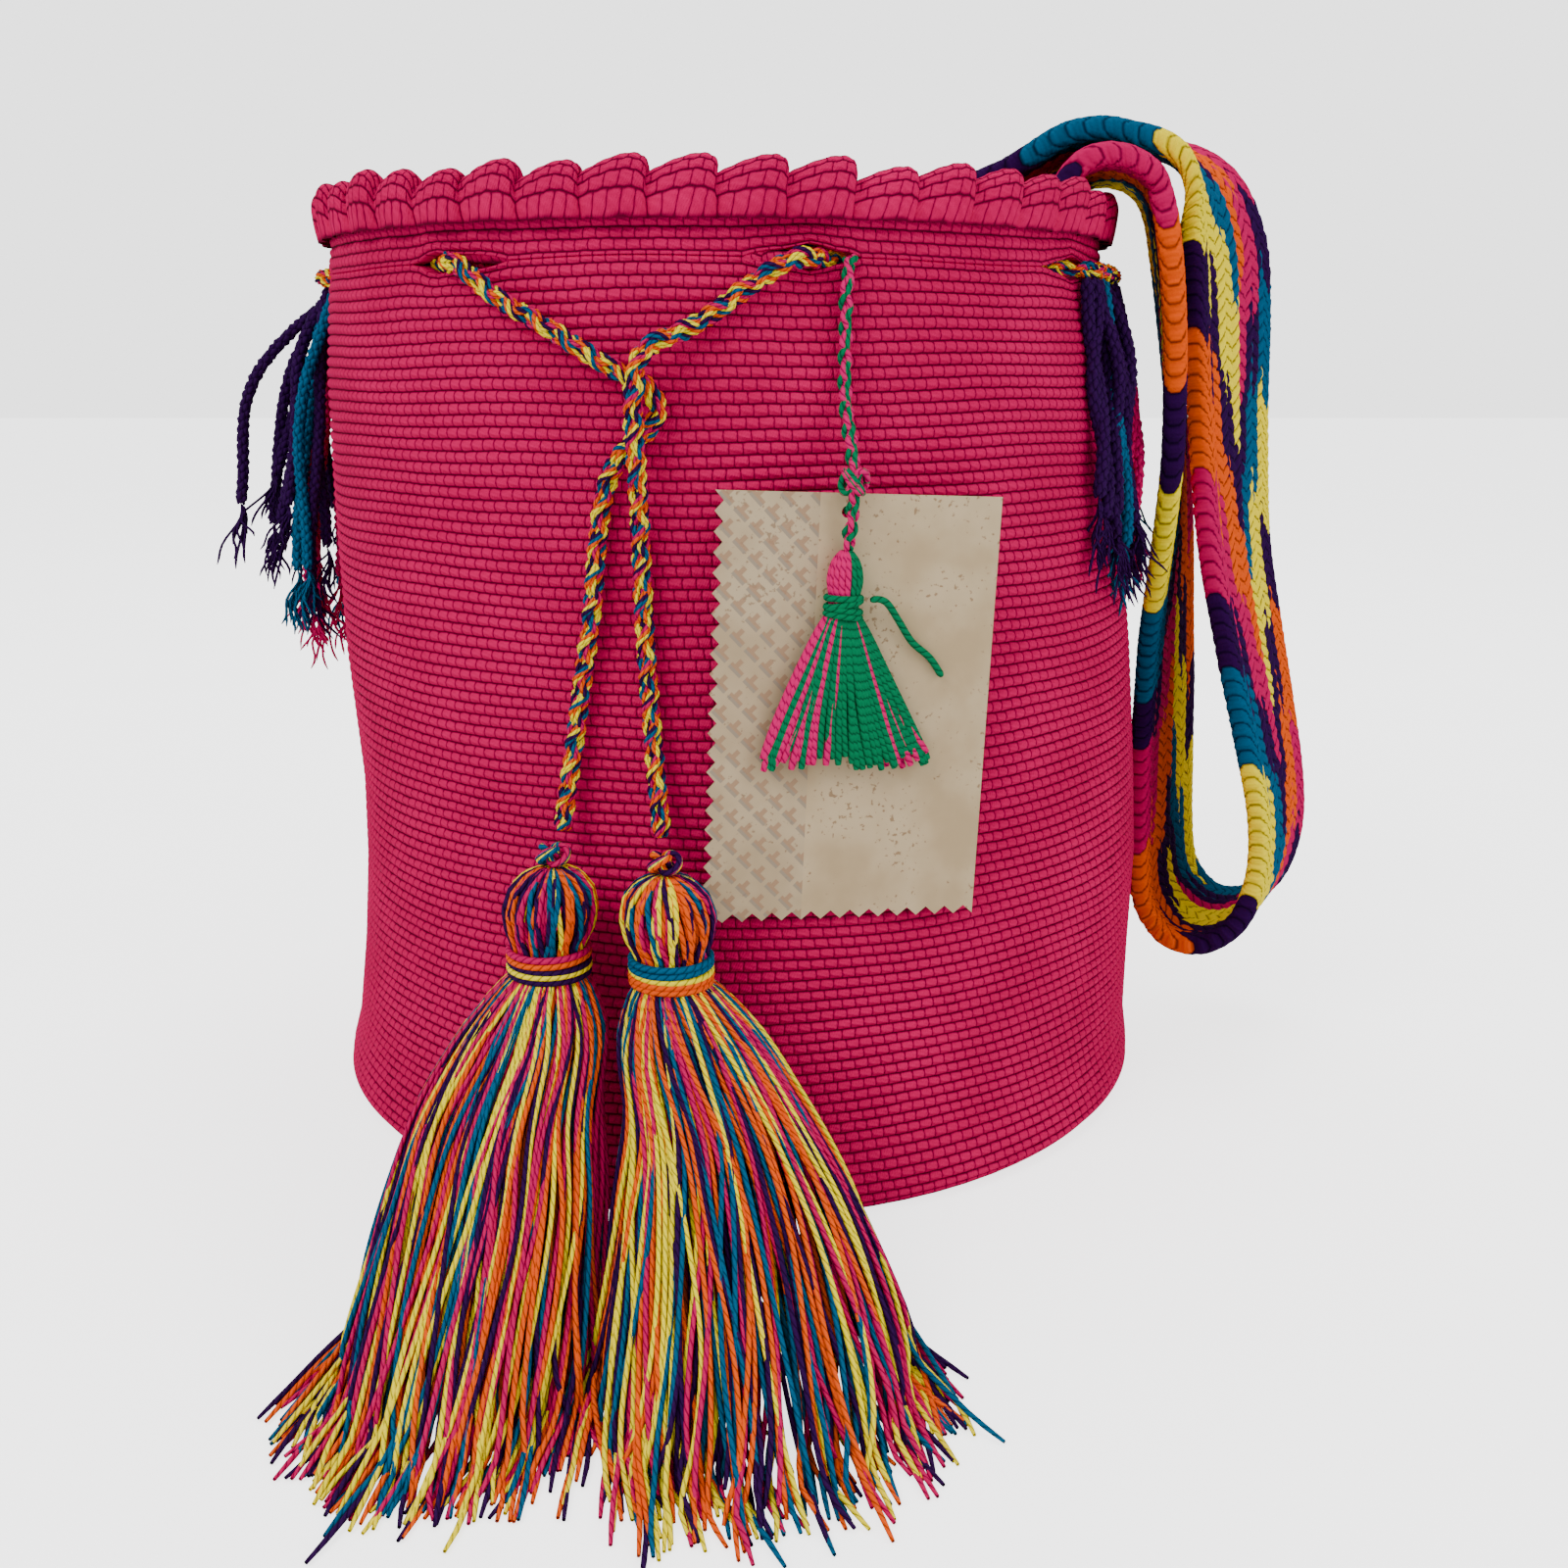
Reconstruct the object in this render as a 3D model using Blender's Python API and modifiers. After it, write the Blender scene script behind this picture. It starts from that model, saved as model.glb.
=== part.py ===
"""A crocheted mochila bag: bag body, shoulder strap with end fringes, drawstring with two tassels, and a hang tag.

Metres, +Z up. The origin is the centre of the flat base. The front faces -Y, and +X is to its right.
"""

import math

import bmesh
import bpy
import numpy as np
from mathutils import Matrix, Vector

# ---- driving dimensions ----
WALL = 0.004  # crocheted fabric
COLUMNS = 96  # round the bag, two to each scallop of the edging
SLITS = 8
SLIT_TURN = 360 / SLITS
SLIT_FRONT = -32.5  # the front left slit, in degrees from the front
SLIT_WIDTH = 0.028
SLIT_HEIGHT = 0.0062
SLIT_Z = 0.2495
STRAP_WIDTH = 0.062
STRAP_THICK = 0.005
CORD = 0.005  # the drawstring's diameter
TAG_CORD = 0.003
CARD_WIDTH = 0.073
CARD_HEIGHT = 0.109
CARD_THICK = 0.0006
CARD_TURN = 14.0  # degrees round the bag from its front
TOOTH = 0.0049  # pitch of the pinked edge
TOOTH_DEPTH = 0.0022

# Outside of the bag: height, radius, and how far the soft wall sways to +X there.
PROFILE = [
    (0.0012, 0.1280, 0.0),
    (0.0045, 0.1310, 0.0002),
    (0.0095, 0.1305, 0.0004),
    (0.0200, 0.1284, 0.0010),
    (0.0450, 0.1269, 0.0025),
    (0.0750, 0.1258, 0.0040),
    (0.1000, 0.1246, 0.0035),
    (0.1400, 0.1240, 0.0005),
    (0.1700, 0.1224, -0.0015),
    (0.1950, 0.1208, -0.0030),
    (0.2220, 0.1194, -0.0040),
    (0.2380, 0.1174, -0.0045),
    (0.2580, 0.1148, -0.0050),
    (0.2655, 0.1160, -0.0050),
    (0.2725, 0.1178, -0.0050),
]
HEIGHTS, RADII, SWAYS = (list(column) for column in zip(*PROFILE))


def radius_at(z):
    return float(np.interp(z, HEIGHTS, RADII))


def sway_at(z):
    return float(np.interp(z, HEIGHTS, SWAYS))


def round_wall(degrees, z, out=0.0):
    """A point at that angle from the front and that far outside the wall's outer face."""
    r = radius_at(z) + out
    a = math.radians(degrees)
    return Vector((sway_at(z) + r * math.sin(a), -r * math.cos(a), z))


def before_wall(x, z, out):
    """A point at that x and z, that far in front of the wall's outer face."""
    r = radius_at(z) + out
    across = x - sway_at(z)
    return Vector((x, -math.sqrt(r * r - across * across), z))


# ---- scene and helpers ----
for old in list(bpy.data.objects):
    bpy.data.objects.remove(old)


def collection(name):
    made = bpy.data.collections.new(name)
    bpy.context.scene.collection.children.link(made)
    return made


bag_parts = collection("mochila_bag")
cutters = collection("cutters")


def material(name, color, roughness=0.9):
    made = bpy.data.materials.new(name)
    made.use_nodes = True
    shader = made.node_tree.nodes["Principled BSDF"]
    shader.inputs["Base Color"].default_value = (*color, 1.0)
    shader.inputs["Roughness"].default_value = roughness
    shader.inputs["Metallic"].default_value = 0.0
    return made


def add(name, data, group=bag_parts):
    made = bpy.data.objects.new(name, data)
    group.objects.link(made)
    return made


def finish_mesh(name, mesh, color, roughness=0.9):
    mesh.shade_smooth()
    mesh.set_sharp_from_angle(angle=math.radians(40))
    mesh.materials.append(material(name, color, roughness))
    return add(name, mesh)


def loft(name, rings, color, roughness=0.9):
    """A closed body through rings of equally many points, each ring counter-clockwise seen from the last one."""
    shape = bmesh.new()
    rows = [[shape.verts.new(p) for p in ring] for ring in rings]
    count = len(rings[0])
    for low, high in zip(rows, rows[1:]):
        for i in range(count):
            j = (i + 1) % count
            shape.faces.new((low[i], low[j], high[j], high[i]))
    shape.faces.new(rows[0][::-1])
    shape.faces.new(rows[-1])
    bmesh.ops.recalc_face_normals(shape, faces=shape.faces)
    mesh = bpy.data.meshes.new(name)
    shape.to_mesh(mesh)
    shape.free()
    return finish_mesh(name, mesh, color, roughness)


def smooth_through(route, step):
    """Points about step apart on a Catmull-Rom curve through the route's points."""
    ends = [2 * route[0] - route[1], *route, 2 * route[-1] - route[-2]]
    fine = []
    for a, b, c, d in zip(ends, ends[1:], ends[2:], ends[3:]):
        for i in range(24):
            t = i / 24
            fine.append(
                0.5
                * (
                    2 * b
                    + (c - a) * t
                    + (2 * a - 5 * b + 4 * c - d) * t**2
                    + (3 * b - a - 3 * c + d) * t**3
                )
            )
    fine.append(route[-1])
    line = np.array(fine)
    along = np.concatenate([[0], np.cumsum(np.linalg.norm(np.diff(line, axis=0), axis=1))])
    at = np.linspace(0, along[-1], math.ceil(along[-1] / step) + 1)
    return [Vector([np.interp(s, along, line[:, k]) for k in range(3)]) for s in at]


def tube(name, route, diameter, color, step=2.5, cyclic=False):
    """A round cord along a smooth curve through the route, with a point every few diameters."""
    if cyclic:
        points = route
    else:
        points = smooth_through(route, step * diameter)
    curve = bpy.data.curves.new(name, "CURVE")
    curve.dimensions = "3D"
    curve.bevel_depth = diameter / 2
    curve.bevel_resolution = 2
    curve.use_fill_caps = not cyclic
    spline = curve.splines.new("POLY")
    spline.points.add(len(points) - 1)
    for knot, p in zip(spline.points, points):
        knot.co = (*p, 1.0)
    spline.use_smooth = True
    spline.use_cyclic_u = cyclic
    curve.materials.append(material(name, color))
    return add(name, curve)


# ---- bag body: a flat round base and a wall crocheted on from it, with a scalloped edging ----
def bag_surface():
    """The outer face, spun from its profile, with the sway and the scallops added."""
    shape = bmesh.new()
    profile = [(0.0, 0.0), (0.064, 0.0), (0.1225, 0.0), *((r, z) for z, r, _ in PROFILE)]
    verts = [shape.verts.new((r, 0, z)) for r, z in profile]
    edges = [shape.edges.new(pair) for pair in zip(verts, verts[1:])]
    bmesh.ops.spin(
        shape,
        geom=verts + edges,
        cent=(0, 0, 0),
        axis=(0, 0, 1),
        angle=2 * math.pi,
        steps=COLUMNS,
        use_merge=True,
    )
    bmesh.ops.remove_doubles(shape, verts=shape.verts, dist=1e-5)
    top, valley = HEIGHTS[-1], HEIGHTS[-2]
    for v in shape.verts:
        if v.co.z > (top + valley) / 2:
            column = round(math.atan2(v.co.y, v.co.x) / (2 * math.pi) * COLUMNS)
            if column % 2:
                v.co.z = top - 0.0055
        v.co.x += sway_at(v.co.z)
    bmesh.ops.recalc_face_normals(shape, faces=shape.faces)
    mesh = bpy.data.meshes.new("bag_body")
    shape.to_mesh(mesh)
    shape.free()
    return mesh


bag = finish_mesh("bag_body", bag_surface(), (0.76, 0.0, 0.12))
shell = bag.modifiers.new("wall", "SOLIDIFY")
shell.thickness = WALL
shell.offset = -1.0

slit_mesh = bpy.data.meshes.new("slit")
slit_shape = bmesh.new()
bmesh.ops.create_cube(slit_shape, size=1.0)
bmesh.ops.scale(slit_shape, vec=(SLIT_WIDTH, 0.024, SLIT_HEIGHT), verts=slit_shape.verts)
slit_shape.to_mesh(slit_mesh)
slit_shape.free()
for number in range(SLITS):
    degrees = SLIT_FRONT + number * SLIT_TURN
    cutter = add(f"slit_{number + 1}", slit_mesh, cutters)
    cutter.location = round_wall(degrees, SLIT_Z, -WALL / 2)
    cutter.rotation_euler.z = math.radians(degrees)
    cutter.hide_render = True
    cutter.display_type = "WIRE"
    cut = bag.modifiers.new(cutter.name, "BOOLEAN")
    cut.operation = "DIFFERENCE"
    cut.object = cutter


# ---- shoulder strap: one plaited band, sewn inside the rim at both sides and thrown over the right side ----
# Centre of the band, and its width's direction in degrees from +Y towards +X.
SEWN_IN = WALL + 0.0048 + STRAP_THICK / 2  # a flat band's middle, inside the curved wall
LEFT_SIDE = -100.0
RIGHT_SIDE = 80.0
STRAP_ROUTE = [
    (round_wall(LEFT_SIDE, 0.2330, -SEWN_IN), 10),
    (round_wall(LEFT_SIDE, 0.2480, -SEWN_IN), 10),
    (round_wall(LEFT_SIDE, 0.2620, -SEWN_IN - 0.001), 10),
    (Vector((-0.0970, 0.0160, 0.2700)), 9),
    (Vector((-0.0800, 0.0150, 0.2715)), 8),
    (Vector((-0.0450, 0.0120, 0.2670)), 6),
    (Vector((0.0000, 0.0080, 0.2640)), 6),
    (Vector((0.0450, 0.0040, 0.2680)), 8),
    (Vector((0.0800, 0.0010, 0.2800)), 12),
    (Vector((0.1020, 0.0000, 0.2870)), 17),
    (Vector((0.1180, 0.0000, 0.2885)), 22),
    (Vector((0.1340, 0.0000, 0.2850)), 27),
    (Vector((0.1450, 0.0000, 0.2750)), 32),
    (Vector((0.1510, 0.0000, 0.2580)), 35),
    (Vector((0.1535, 0.0000, 0.2350)), 35),
    (Vector((0.1560, 0.0000, 0.2050)), 33),
    (Vector((0.1600, -0.0010, 0.1700)), 31),
    (Vector((0.1665, -0.0020, 0.1400)), 30),
    (Vector((0.1730, -0.0030, 0.1130)), 29),
    (Vector((0.1785, -0.0040, 0.0880)), 28),
    (Vector((0.1800, -0.0040, 0.0680)), 28),
    (Vector((0.1765, -0.0020, 0.0510)), 28),
    (Vector((0.1690, 0.0020, 0.0415)), 28),
    (Vector((0.1610, 0.0065, 0.0390)), 28),
    (Vector((0.1540, 0.0110, 0.0420)), 28),
    (Vector((0.1485, 0.0145, 0.0510)), 28),
    (Vector((0.1465, 0.0160, 0.0660)), 28),
    (Vector((0.1455, 0.0165, 0.0880)), 28),
    (Vector((0.1445, 0.0160, 0.1150)), 27),
    (Vector((0.1425, 0.0120, 0.1450)), 24),
    (Vector((0.1400, 0.0030, 0.1750)), 19),
    (Vector((0.1365, -0.0070, 0.2050)), 14),
    (Vector((0.1320, -0.0140, 0.2350)), 11),
    (Vector((0.1285, -0.0170, 0.2550)), 10),
    (Vector((0.1255, -0.0180, 0.2680)), 10),
    (Vector((0.1215, -0.0180, 0.2755)), 10),
    (Vector((0.1140, -0.0180, 0.2795)), 10),
    (Vector((0.1060, -0.0180, 0.2795)), 10),
    (Vector((0.0995, -0.0180, 0.2755)), 10),
    (round_wall(RIGHT_SIDE, 0.2660, -SEWN_IN - 0.0030), 10),
    (round_wall(RIGHT_SIDE, 0.2580, -SEWN_IN - 0.0010), 10),
    (round_wall(RIGHT_SIDE, 0.2480, -SEWN_IN), 10),
    (round_wall(RIGHT_SIDE, 0.2330, -SEWN_IN), 10),
]


def strap_rings():
    """Eight-sided sections of the band, square to its line."""
    centres = [c for c, _ in STRAP_ROUTE]
    turns = np.array([t for _, t in STRAP_ROUTE], float)
    knots = np.array(centres)
    along = np.concatenate([[0], np.cumsum(np.linalg.norm(np.diff(knots, axis=0), axis=1))])
    line = smooth_through(centres, 0.011)
    steps = np.concatenate([[0], np.cumsum([(b - a).length for a, b in zip(line, line[1:])])])
    half, edge = STRAP_WIDTH / 2, STRAP_THICK / 2
    section = [(-half, -0.4), (-half, 0.4), (0.0015 - half, 1), (half - 0.0015, 1)]
    section += [(half, 0.4), (half, -0.4), (half - 0.0015, -1), (0.0015 - half, -1)]
    rings = []
    for i, p in enumerate(line):
        ahead = line[min(i + 1, len(line) - 1)] - line[max(i - 1, 0)]
        share = steps[i] / steps[-1] * along[-1]
        turn = math.radians(np.interp(share, along, turns))
        across = Vector((math.sin(turn), math.cos(turn), 0))
        across = (across - across.project(ahead)).normalized()
        face = ahead.cross(across).normalized()
        rings.append([p + across * a + face * (b * edge) for a, b in section])
    return rings


loft("shoulder_strap", strap_rings(), (0.0, 0.25, 0.42))


# ---- fringes: the strap's plied yarn ends, drawn out through the wall under the rim ----
def fringe(name, degrees, levels):
    """A tapered lump of hanging cords. Each level is its height, its middle's distance from the wall, width and thickness."""
    rings = []
    for z, out, width, thick in levels:
        middle = round_wall(degrees, z, out)
        outward = (round_wall(degrees, z, out + 0.01) - middle).normalized()
        side = Vector((0, 0, 1)).cross(outward)
        ring = []
        for k in range(12):
            a = 2 * math.pi * k / 12
            bow = (math.cos(a) * width / 2) ** 2 / (2 * radius_at(z))
            ring.append(
                middle
                + side * (math.cos(a) * width / 2)
                + outward * (math.sin(a) * thick / 2 - bow)
            )
        rings.append(ring)
    return loft(name, rings[::-1], (0.03, 0.0, 0.07))


fringe(
    "strap_fringe_left",
    LEFT_SIDE,
    [
        (0.2462, 0.0034, 0.050, 0.0050),
        (0.2300, 0.0075, 0.050, 0.0110),
        (0.2000, 0.0130, 0.052, 0.0180),
        (0.1650, 0.0180, 0.052, 0.0240),
        (0.1350, 0.0190, 0.046, 0.0220),
        (0.1220, 0.0180, 0.036, 0.0160),
    ],
)
fringe(
    "strap_fringe_right",
    RIGHT_SIDE - 9,
    [
        (0.2462, 0.0034, 0.050, 0.0050),
        (0.2300, 0.0046, 0.050, 0.0070),
        (0.2000, 0.0060, 0.048, 0.0090),
        (0.1700, 0.0065, 0.044, 0.0100),
        (0.1560, 0.0062, 0.036, 0.0080),
    ],
)


# ---- drawstring: one braided cord, laced through the slits, crossed at the front and hanging in two ends ----
OUTSIDE = CORD / 2 + 0.0007
INSIDE = -WALL - CORD / 2 - 0.0008
CROSSING = 4.5  # degrees to each side of where the cord passes through the wall
BEGIN, END = -40.9, -340.1  # the laced stretch starts and stops inside the two front slits


def laced_stretch():
    """From inside the front left slit round by the back to the front right one, changing sides at each slit between."""
    crossings = [SLIT_FRONT - k * SLIT_TURN for k in range(1, SLITS - 1)]
    route = []
    for degrees in np.linspace(BEGIN, END, 90):
        passed = 1.0
        for k, middle in enumerate(crossings):
            t = min(1.0, max(0.0, (middle + CROSSING - degrees) / (2 * CROSSING)))
            passed += (-1 if k % 2 == 0 else 1) * t * t * (3 - 2 * t)
        route.append(round_wall(degrees, SLIT_Z, OUTSIDE + (INSIDE - OUTSIDE) * passed))
    return route


CORD_COLOR = (0.85, 0.45, 0.05)
tube("drawstring_laced", laced_stretch(), CORD, CORD_COLOR)


# Each hanging end as (x, z, distance in front of the wall), from the slit to the knot on its tassel.
LEFT_END = [
    (-0.0745, 0.2495, -0.0073),
    (-0.0716, 0.2495, -0.0062),
    (-0.0700, 0.2495, -0.0035),
    (-0.0690, 0.2495, 0.0005),
    (-0.0673, 0.2494, 0.0036),
    (-0.0642, 0.2478, 0.0042),
    (-0.0590, 0.2435, 0.0038),
    (-0.0530, 0.2393, 0.0033),
    (-0.0460, 0.2355, 0.0031),
    (-0.0390, 0.2315, 0.0031),
    (-0.0320, 0.2272, 0.0031),
    (-0.0250, 0.2232, 0.0030),
    (-0.0185, 0.2200, 0.0030),
    (-0.0155, 0.2150, 0.0030),
    (-0.0175, 0.2098, 0.0030),
    (-0.0225, 0.2058, 0.0030),
    (-0.0265, 0.2005, 0.0030),
    (-0.0292, 0.1930, 0.0030),
    (-0.0312, 0.1800, 0.0032),
    (-0.0328, 0.1650, 0.0034),
    (-0.0355, 0.1486, 0.0036),
    (-0.0380, 0.1330, 0.0040),
    (-0.0402, 0.1200, 0.0052),
    (-0.0418, 0.1094, 0.0075),
]
RIGHT_END = [
    (0.0302, 0.2495, -0.0073),
    (0.0265, 0.2495, -0.0062),
    (0.0240, 0.2495, -0.0035),
    (0.0222, 0.2496, 0.0004),
    (0.0196, 0.2496, 0.0035),
    (0.0154, 0.2484, 0.0040),
    (0.0105, 0.2453, 0.0035),
    (0.0050, 0.2417, 0.0031),
    (-0.0025, 0.2362, 0.0031),
    (-0.0100, 0.2322, 0.0040),
    (-0.0155, 0.2300, 0.0070),
    (-0.0192, 0.2262, 0.0092),
    (-0.0205, 0.2205, 0.0095),
    (-0.0208, 0.2130, 0.0094),
    (-0.0205, 0.2060, 0.0092),
    (-0.0203, 0.1990, 0.0080),
    (-0.0202, 0.1910, 0.0048),
    (-0.0200, 0.1800, 0.0034),
    (-0.0196, 0.1650, 0.0034),
    (-0.0188, 0.1486, 0.0036),
    (-0.0178, 0.1330, 0.0040),
    (-0.0168, 0.1200, 0.0052),
    (-0.0158, 0.1094, 0.0075),
]


# ---- tassels: yarn folded over the cord's end knot, bound at the neck, its skirt lying out on the floor ----
# Each ring of a tassel is its height, x, y, and radii along X and Y.
LEFT_TASSEL = [
    (0.1026, -0.0430, -0.1345, 0.0028, 0.0028),
    (0.1010, -0.0432, -0.1346, 0.0068, 0.0068),
    (0.0975, -0.0436, -0.1348, 0.0100, 0.0100),
    (0.0925, -0.0440, -0.1350, 0.0114, 0.0114),
    (0.0875, -0.0443, -0.1352, 0.0104, 0.0104),
    (0.0830, -0.0447, -0.1356, 0.0086, 0.0086),
    (0.0748, -0.0447, -0.1356, 0.0086, 0.0086),
    (0.0715, -0.0458, -0.1380, 0.0125, 0.0110),
    (0.0620, -0.0482, -0.1445, 0.0185, 0.0140),
    (0.0480, -0.0530, -0.1545, 0.0240, 0.0190),
    (0.0340, -0.0572, -0.1655, 0.0285, 0.0250),
    (0.0200, -0.0610, -0.1770, 0.0330, 0.0320),
    (0.0090, -0.0640, -0.1870, 0.0365, 0.0400),
    (0.0004, -0.0655, -0.1920, 0.0375, 0.0440),
]
RIGHT_TASSEL = [
    (0.1026, -0.0145, -0.1415, 0.0028, 0.0028),
    (0.1010, -0.0144, -0.1415, 0.0068, 0.0068),
    (0.0975, -0.0142, -0.1416, 0.0100, 0.0100),
    (0.0925, -0.0138, -0.1418, 0.0114, 0.0114),
    (0.0875, -0.0136, -0.1420, 0.0104, 0.0104),
    (0.0830, -0.0132, -0.1422, 0.0086, 0.0086),
    (0.0748, -0.0132, -0.1422, 0.0086, 0.0086),
    (0.0715, -0.0115, -0.1440, 0.0125, 0.0110),
    (0.0620, -0.0075, -0.1500, 0.0185, 0.0150),
    (0.0480, -0.0010, -0.1600, 0.0240, 0.0200),
    (0.0340, 0.0050, -0.1710, 0.0290, 0.0265),
    (0.0200, 0.0110, -0.1830, 0.0340, 0.0345),
    (0.0090, 0.0150, -0.1925, 0.0380, 0.0430),
    (0.0004, 0.0170, -0.1980, 0.0395, 0.0480),
]
TASSEL_SIDES = 20


def ellipse(z, x, y, rx, ry, count=TASSEL_SIDES):
    turns = [2 * math.pi * k / count for k in range(count)]
    return [Vector((x + rx * math.cos(a), y + ry * math.sin(a), z)) for a in turns]


def ring_band(name, x, y, z, inner, outer, height, color):
    """A wound band round a neck: a turned ring with a rounded outside."""
    mesh = bpy.data.meshes.new(name)
    shape = bmesh.new()
    half = height / 2
    outline = [(inner, half), (outer - 0.0008, half), (outer, half / 2)]
    outline += [(outer, -half / 2), (outer - 0.0008, -half), (inner, -half)]
    verts = [shape.verts.new((r, 0, h)) for r, h in outline]
    for pair in zip(verts, verts[1:] + verts[:1]):
        shape.edges.new(pair)
    shape.to_mesh(mesh)
    shape.free()
    mesh.shade_smooth()
    mesh.materials.append(material(name, color))
    made = add(name, mesh)
    made.location = (x, y, z)
    screw = made.modifiers.new("turned", "SCREW")
    screw.steps = screw.render_steps = 24
    screw.use_merge_vertices = True
    screw.merge_threshold = 1e-5
    return made


def knot(name, x, y, z, wide, high, color):
    """A pulled-tight knot: a flattened ball."""
    mesh = bpy.data.meshes.new(name)
    shape = bmesh.new()
    bmesh.ops.create_uvsphere(shape, u_segments=12, v_segments=8, radius=0.5)
    bmesh.ops.scale(shape, vec=(wide, wide, high), verts=shape.verts)
    shape.to_mesh(mesh)
    shape.free()
    made = finish_mesh(name, mesh, color)
    made.location = (x, y, z)
    return made


NECK_Z = 0.0789
for side, end, body in (("left", LEFT_END, LEFT_TASSEL), ("right", RIGHT_END, RIGHT_TASSEL)):
    tube(f"drawstring_end_{side}", [before_wall(*p) for p in end], CORD, CORD_COLOR)
    loft(f"tassel_{side}", [ellipse(*ring) for ring in body[::-1]], (0.75, 0.12, 0.10))
    _, top_x, top_y, _, _ = body[0]
    knot(f"end_knot_{side}", top_x, top_y, 0.1059, 0.0092, 0.0058, (0.02, 0.20, 0.35))
    _, neck_x, neck_y, _, _ = body[6]
    ring_band(
        f"tassel_binding_{side}", neck_x, neck_y, NECK_Z, 0.0091, 0.0112, 0.0066, (0.85, 0.25, 0.05)
    )


# ---- hang tag: a pinked card on a cord from the front right slit, with a small tassel over it ----
CARD_OUT = 0.1267  # the card's back from the bag's axis
CARD_ROLL = -2.5
card_facing = Vector((math.sin(math.radians(CARD_TURN)), -math.cos(math.radians(CARD_TURN)), 0))
card_right = Vector((-card_facing.y, card_facing.x, 0))
card_middle = card_facing * (CARD_OUT + CARD_THICK / 2) + Vector((0.0010, 0, 0.1400))
card_frame = Matrix.LocRotScale(
    card_middle,
    Matrix((card_right, (0, 0, 1), card_facing)).transposed().to_quaternion()
    @ Matrix.Rotation(math.radians(CARD_ROLL), 3, "Z").to_quaternion(),
    None,
)
HOLE_AT = (-0.0035, CARD_HEIGHT / 2 - 0.0045)
HOLE = 0.0030


def card_outline():
    """Straight top and right edges, and pinked left and bottom edges."""
    right, top = CARD_WIDTH / 2, CARD_HEIGHT / 2
    corners = [(right, top), (-right, top)]
    down = int(CARD_HEIGHT / TOOTH)
    for k in range(1, 2 * down):
        inset = TOOTH_DEPTH if k % 2 else 0.0
        corners.append((-right + inset, top - k * CARD_HEIGHT / (2 * down)))
    corners.append((-right, -top))
    across = int(CARD_WIDTH / TOOTH)
    for k in range(1, 2 * across):
        inset = TOOTH_DEPTH if k % 2 else 0.0
        corners.append((-right + k * CARD_WIDTH / (2 * across), -top + inset))
    corners.append((right, -top))
    return corners


def hang_tag():
    curve = bpy.data.curves.new("hang_tag", "CURVE")
    curve.dimensions = "2D"
    curve.fill_mode = "BOTH"
    curve.extrude = CARD_THICK / 2
    turns = [2 * math.pi * k / 16 for k in range(16)]
    hole = [
        (HOLE_AT[0] + HOLE / 2 * math.cos(a), HOLE_AT[1] + HOLE / 2 * math.sin(a)) for a in turns
    ]
    for outline in (card_outline(), hole):
        spline = curve.splines.new("POLY")
        spline.points.add(len(outline) - 1)
        for corner, (x, y) in zip(spline.points, outline):
            corner.co = (x, y, 0, 1)
        spline.use_cyclic_u = True
    curve.materials.append(material("hang_tag", (0.66, 0.58, 0.42), 0.7))
    made = add("hang_tag", curve)
    made.matrix_world = card_frame
    return made


def on_card(x, y, out):
    """A point in the card's own directions, that far in front of its middle plane."""
    return card_frame @ Vector((x, y, out))


hang_tag()
TAG_COLOR = (0.0, 0.30, 0.16)
LOOP_YARN = 0.0012
loop_turns = [2 * math.pi * k / 16 for k in range(16)]
tube(
    "tag_loop",
    [
        on_card(HOLE_AT[0], HOLE_AT[1] + 0.0028 + 0.0030 * math.cos(a), 0.0022 * math.sin(a))
        for a in loop_turns
    ],
    LOOP_YARN,
    TAG_COLOR,
    cyclic=True,
)
FRONT = CARD_THICK / 2 + TAG_CORD / 2 + 0.0004
TOP = CARD_HEIGHT / 2
tag_route = [
    round_wall(18.2, SLIT_Z, -0.0014),
    round_wall(18.0, SLIT_Z - 0.0001, 0.0004),
    round_wall(17.5, SLIT_Z - 0.0025, 0.0022),
    round_wall(17.0, SLIT_Z - 0.0070, 0.0024),
    round_wall(16.5, 0.2300, 0.0022),
    round_wall(16.0, 0.2170, 0.0030),
    on_card(HOLE_AT[0], TOP + 0.0085, 0.0024),
    on_card(HOLE_AT[0], TOP + 0.0035, 0.0042),
    on_card(HOLE_AT[0], TOP - 0.0015, 0.0048),
    on_card(HOLE_AT[0], TOP - 0.0060, 0.0040),
    on_card(HOLE_AT[0] - 0.0002, TOP - 0.0105, 0.0032),
    on_card(HOLE_AT[0] - 0.0005, TOP - 0.0139, 0.0032),
]
tube("tag_cord", tag_route, TAG_CORD, TAG_COLOR, step=1.6)


def tag_ring(y, x, wide, thick, lift):
    """A flattened section of the small tassel, lying along the card's face."""
    turns = [2 * math.pi * k / 16 for k in range(16)]
    return [
        on_card(x + wide / 2 * math.cos(a), y, lift + thick / 2 * math.sin(a)) for a in turns
    ]


# Each ring is its height on the card, middle, width, thickness and the middle's lift off the card.
TAG_TASSEL = [
    (TOP - 0.0142, -0.0040, 0.0030, 0.0026, 0.0036),
    (TOP - 0.0165, -0.0041, 0.0066, 0.0050, 0.0036),
    (TOP - 0.0205, -0.0043, 0.0084, 0.0060, 0.0038),
    (TOP - 0.0245, -0.0044, 0.0070, 0.0052, 0.0036),
    (TOP - 0.0298, -0.0045, 0.0066, 0.0050, 0.0036),
    (TOP - 0.0335, -0.0045, 0.0110, 0.0056, 0.0037),
    (TOP - 0.0450, -0.0040, 0.0220, 0.0060, 0.0038),
    (TOP - 0.0560, -0.0030, 0.0330, 0.0056, 0.0036),
    (TOP - 0.0660, -0.0015, 0.0420, 0.0050, 0.0033),
]
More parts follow.
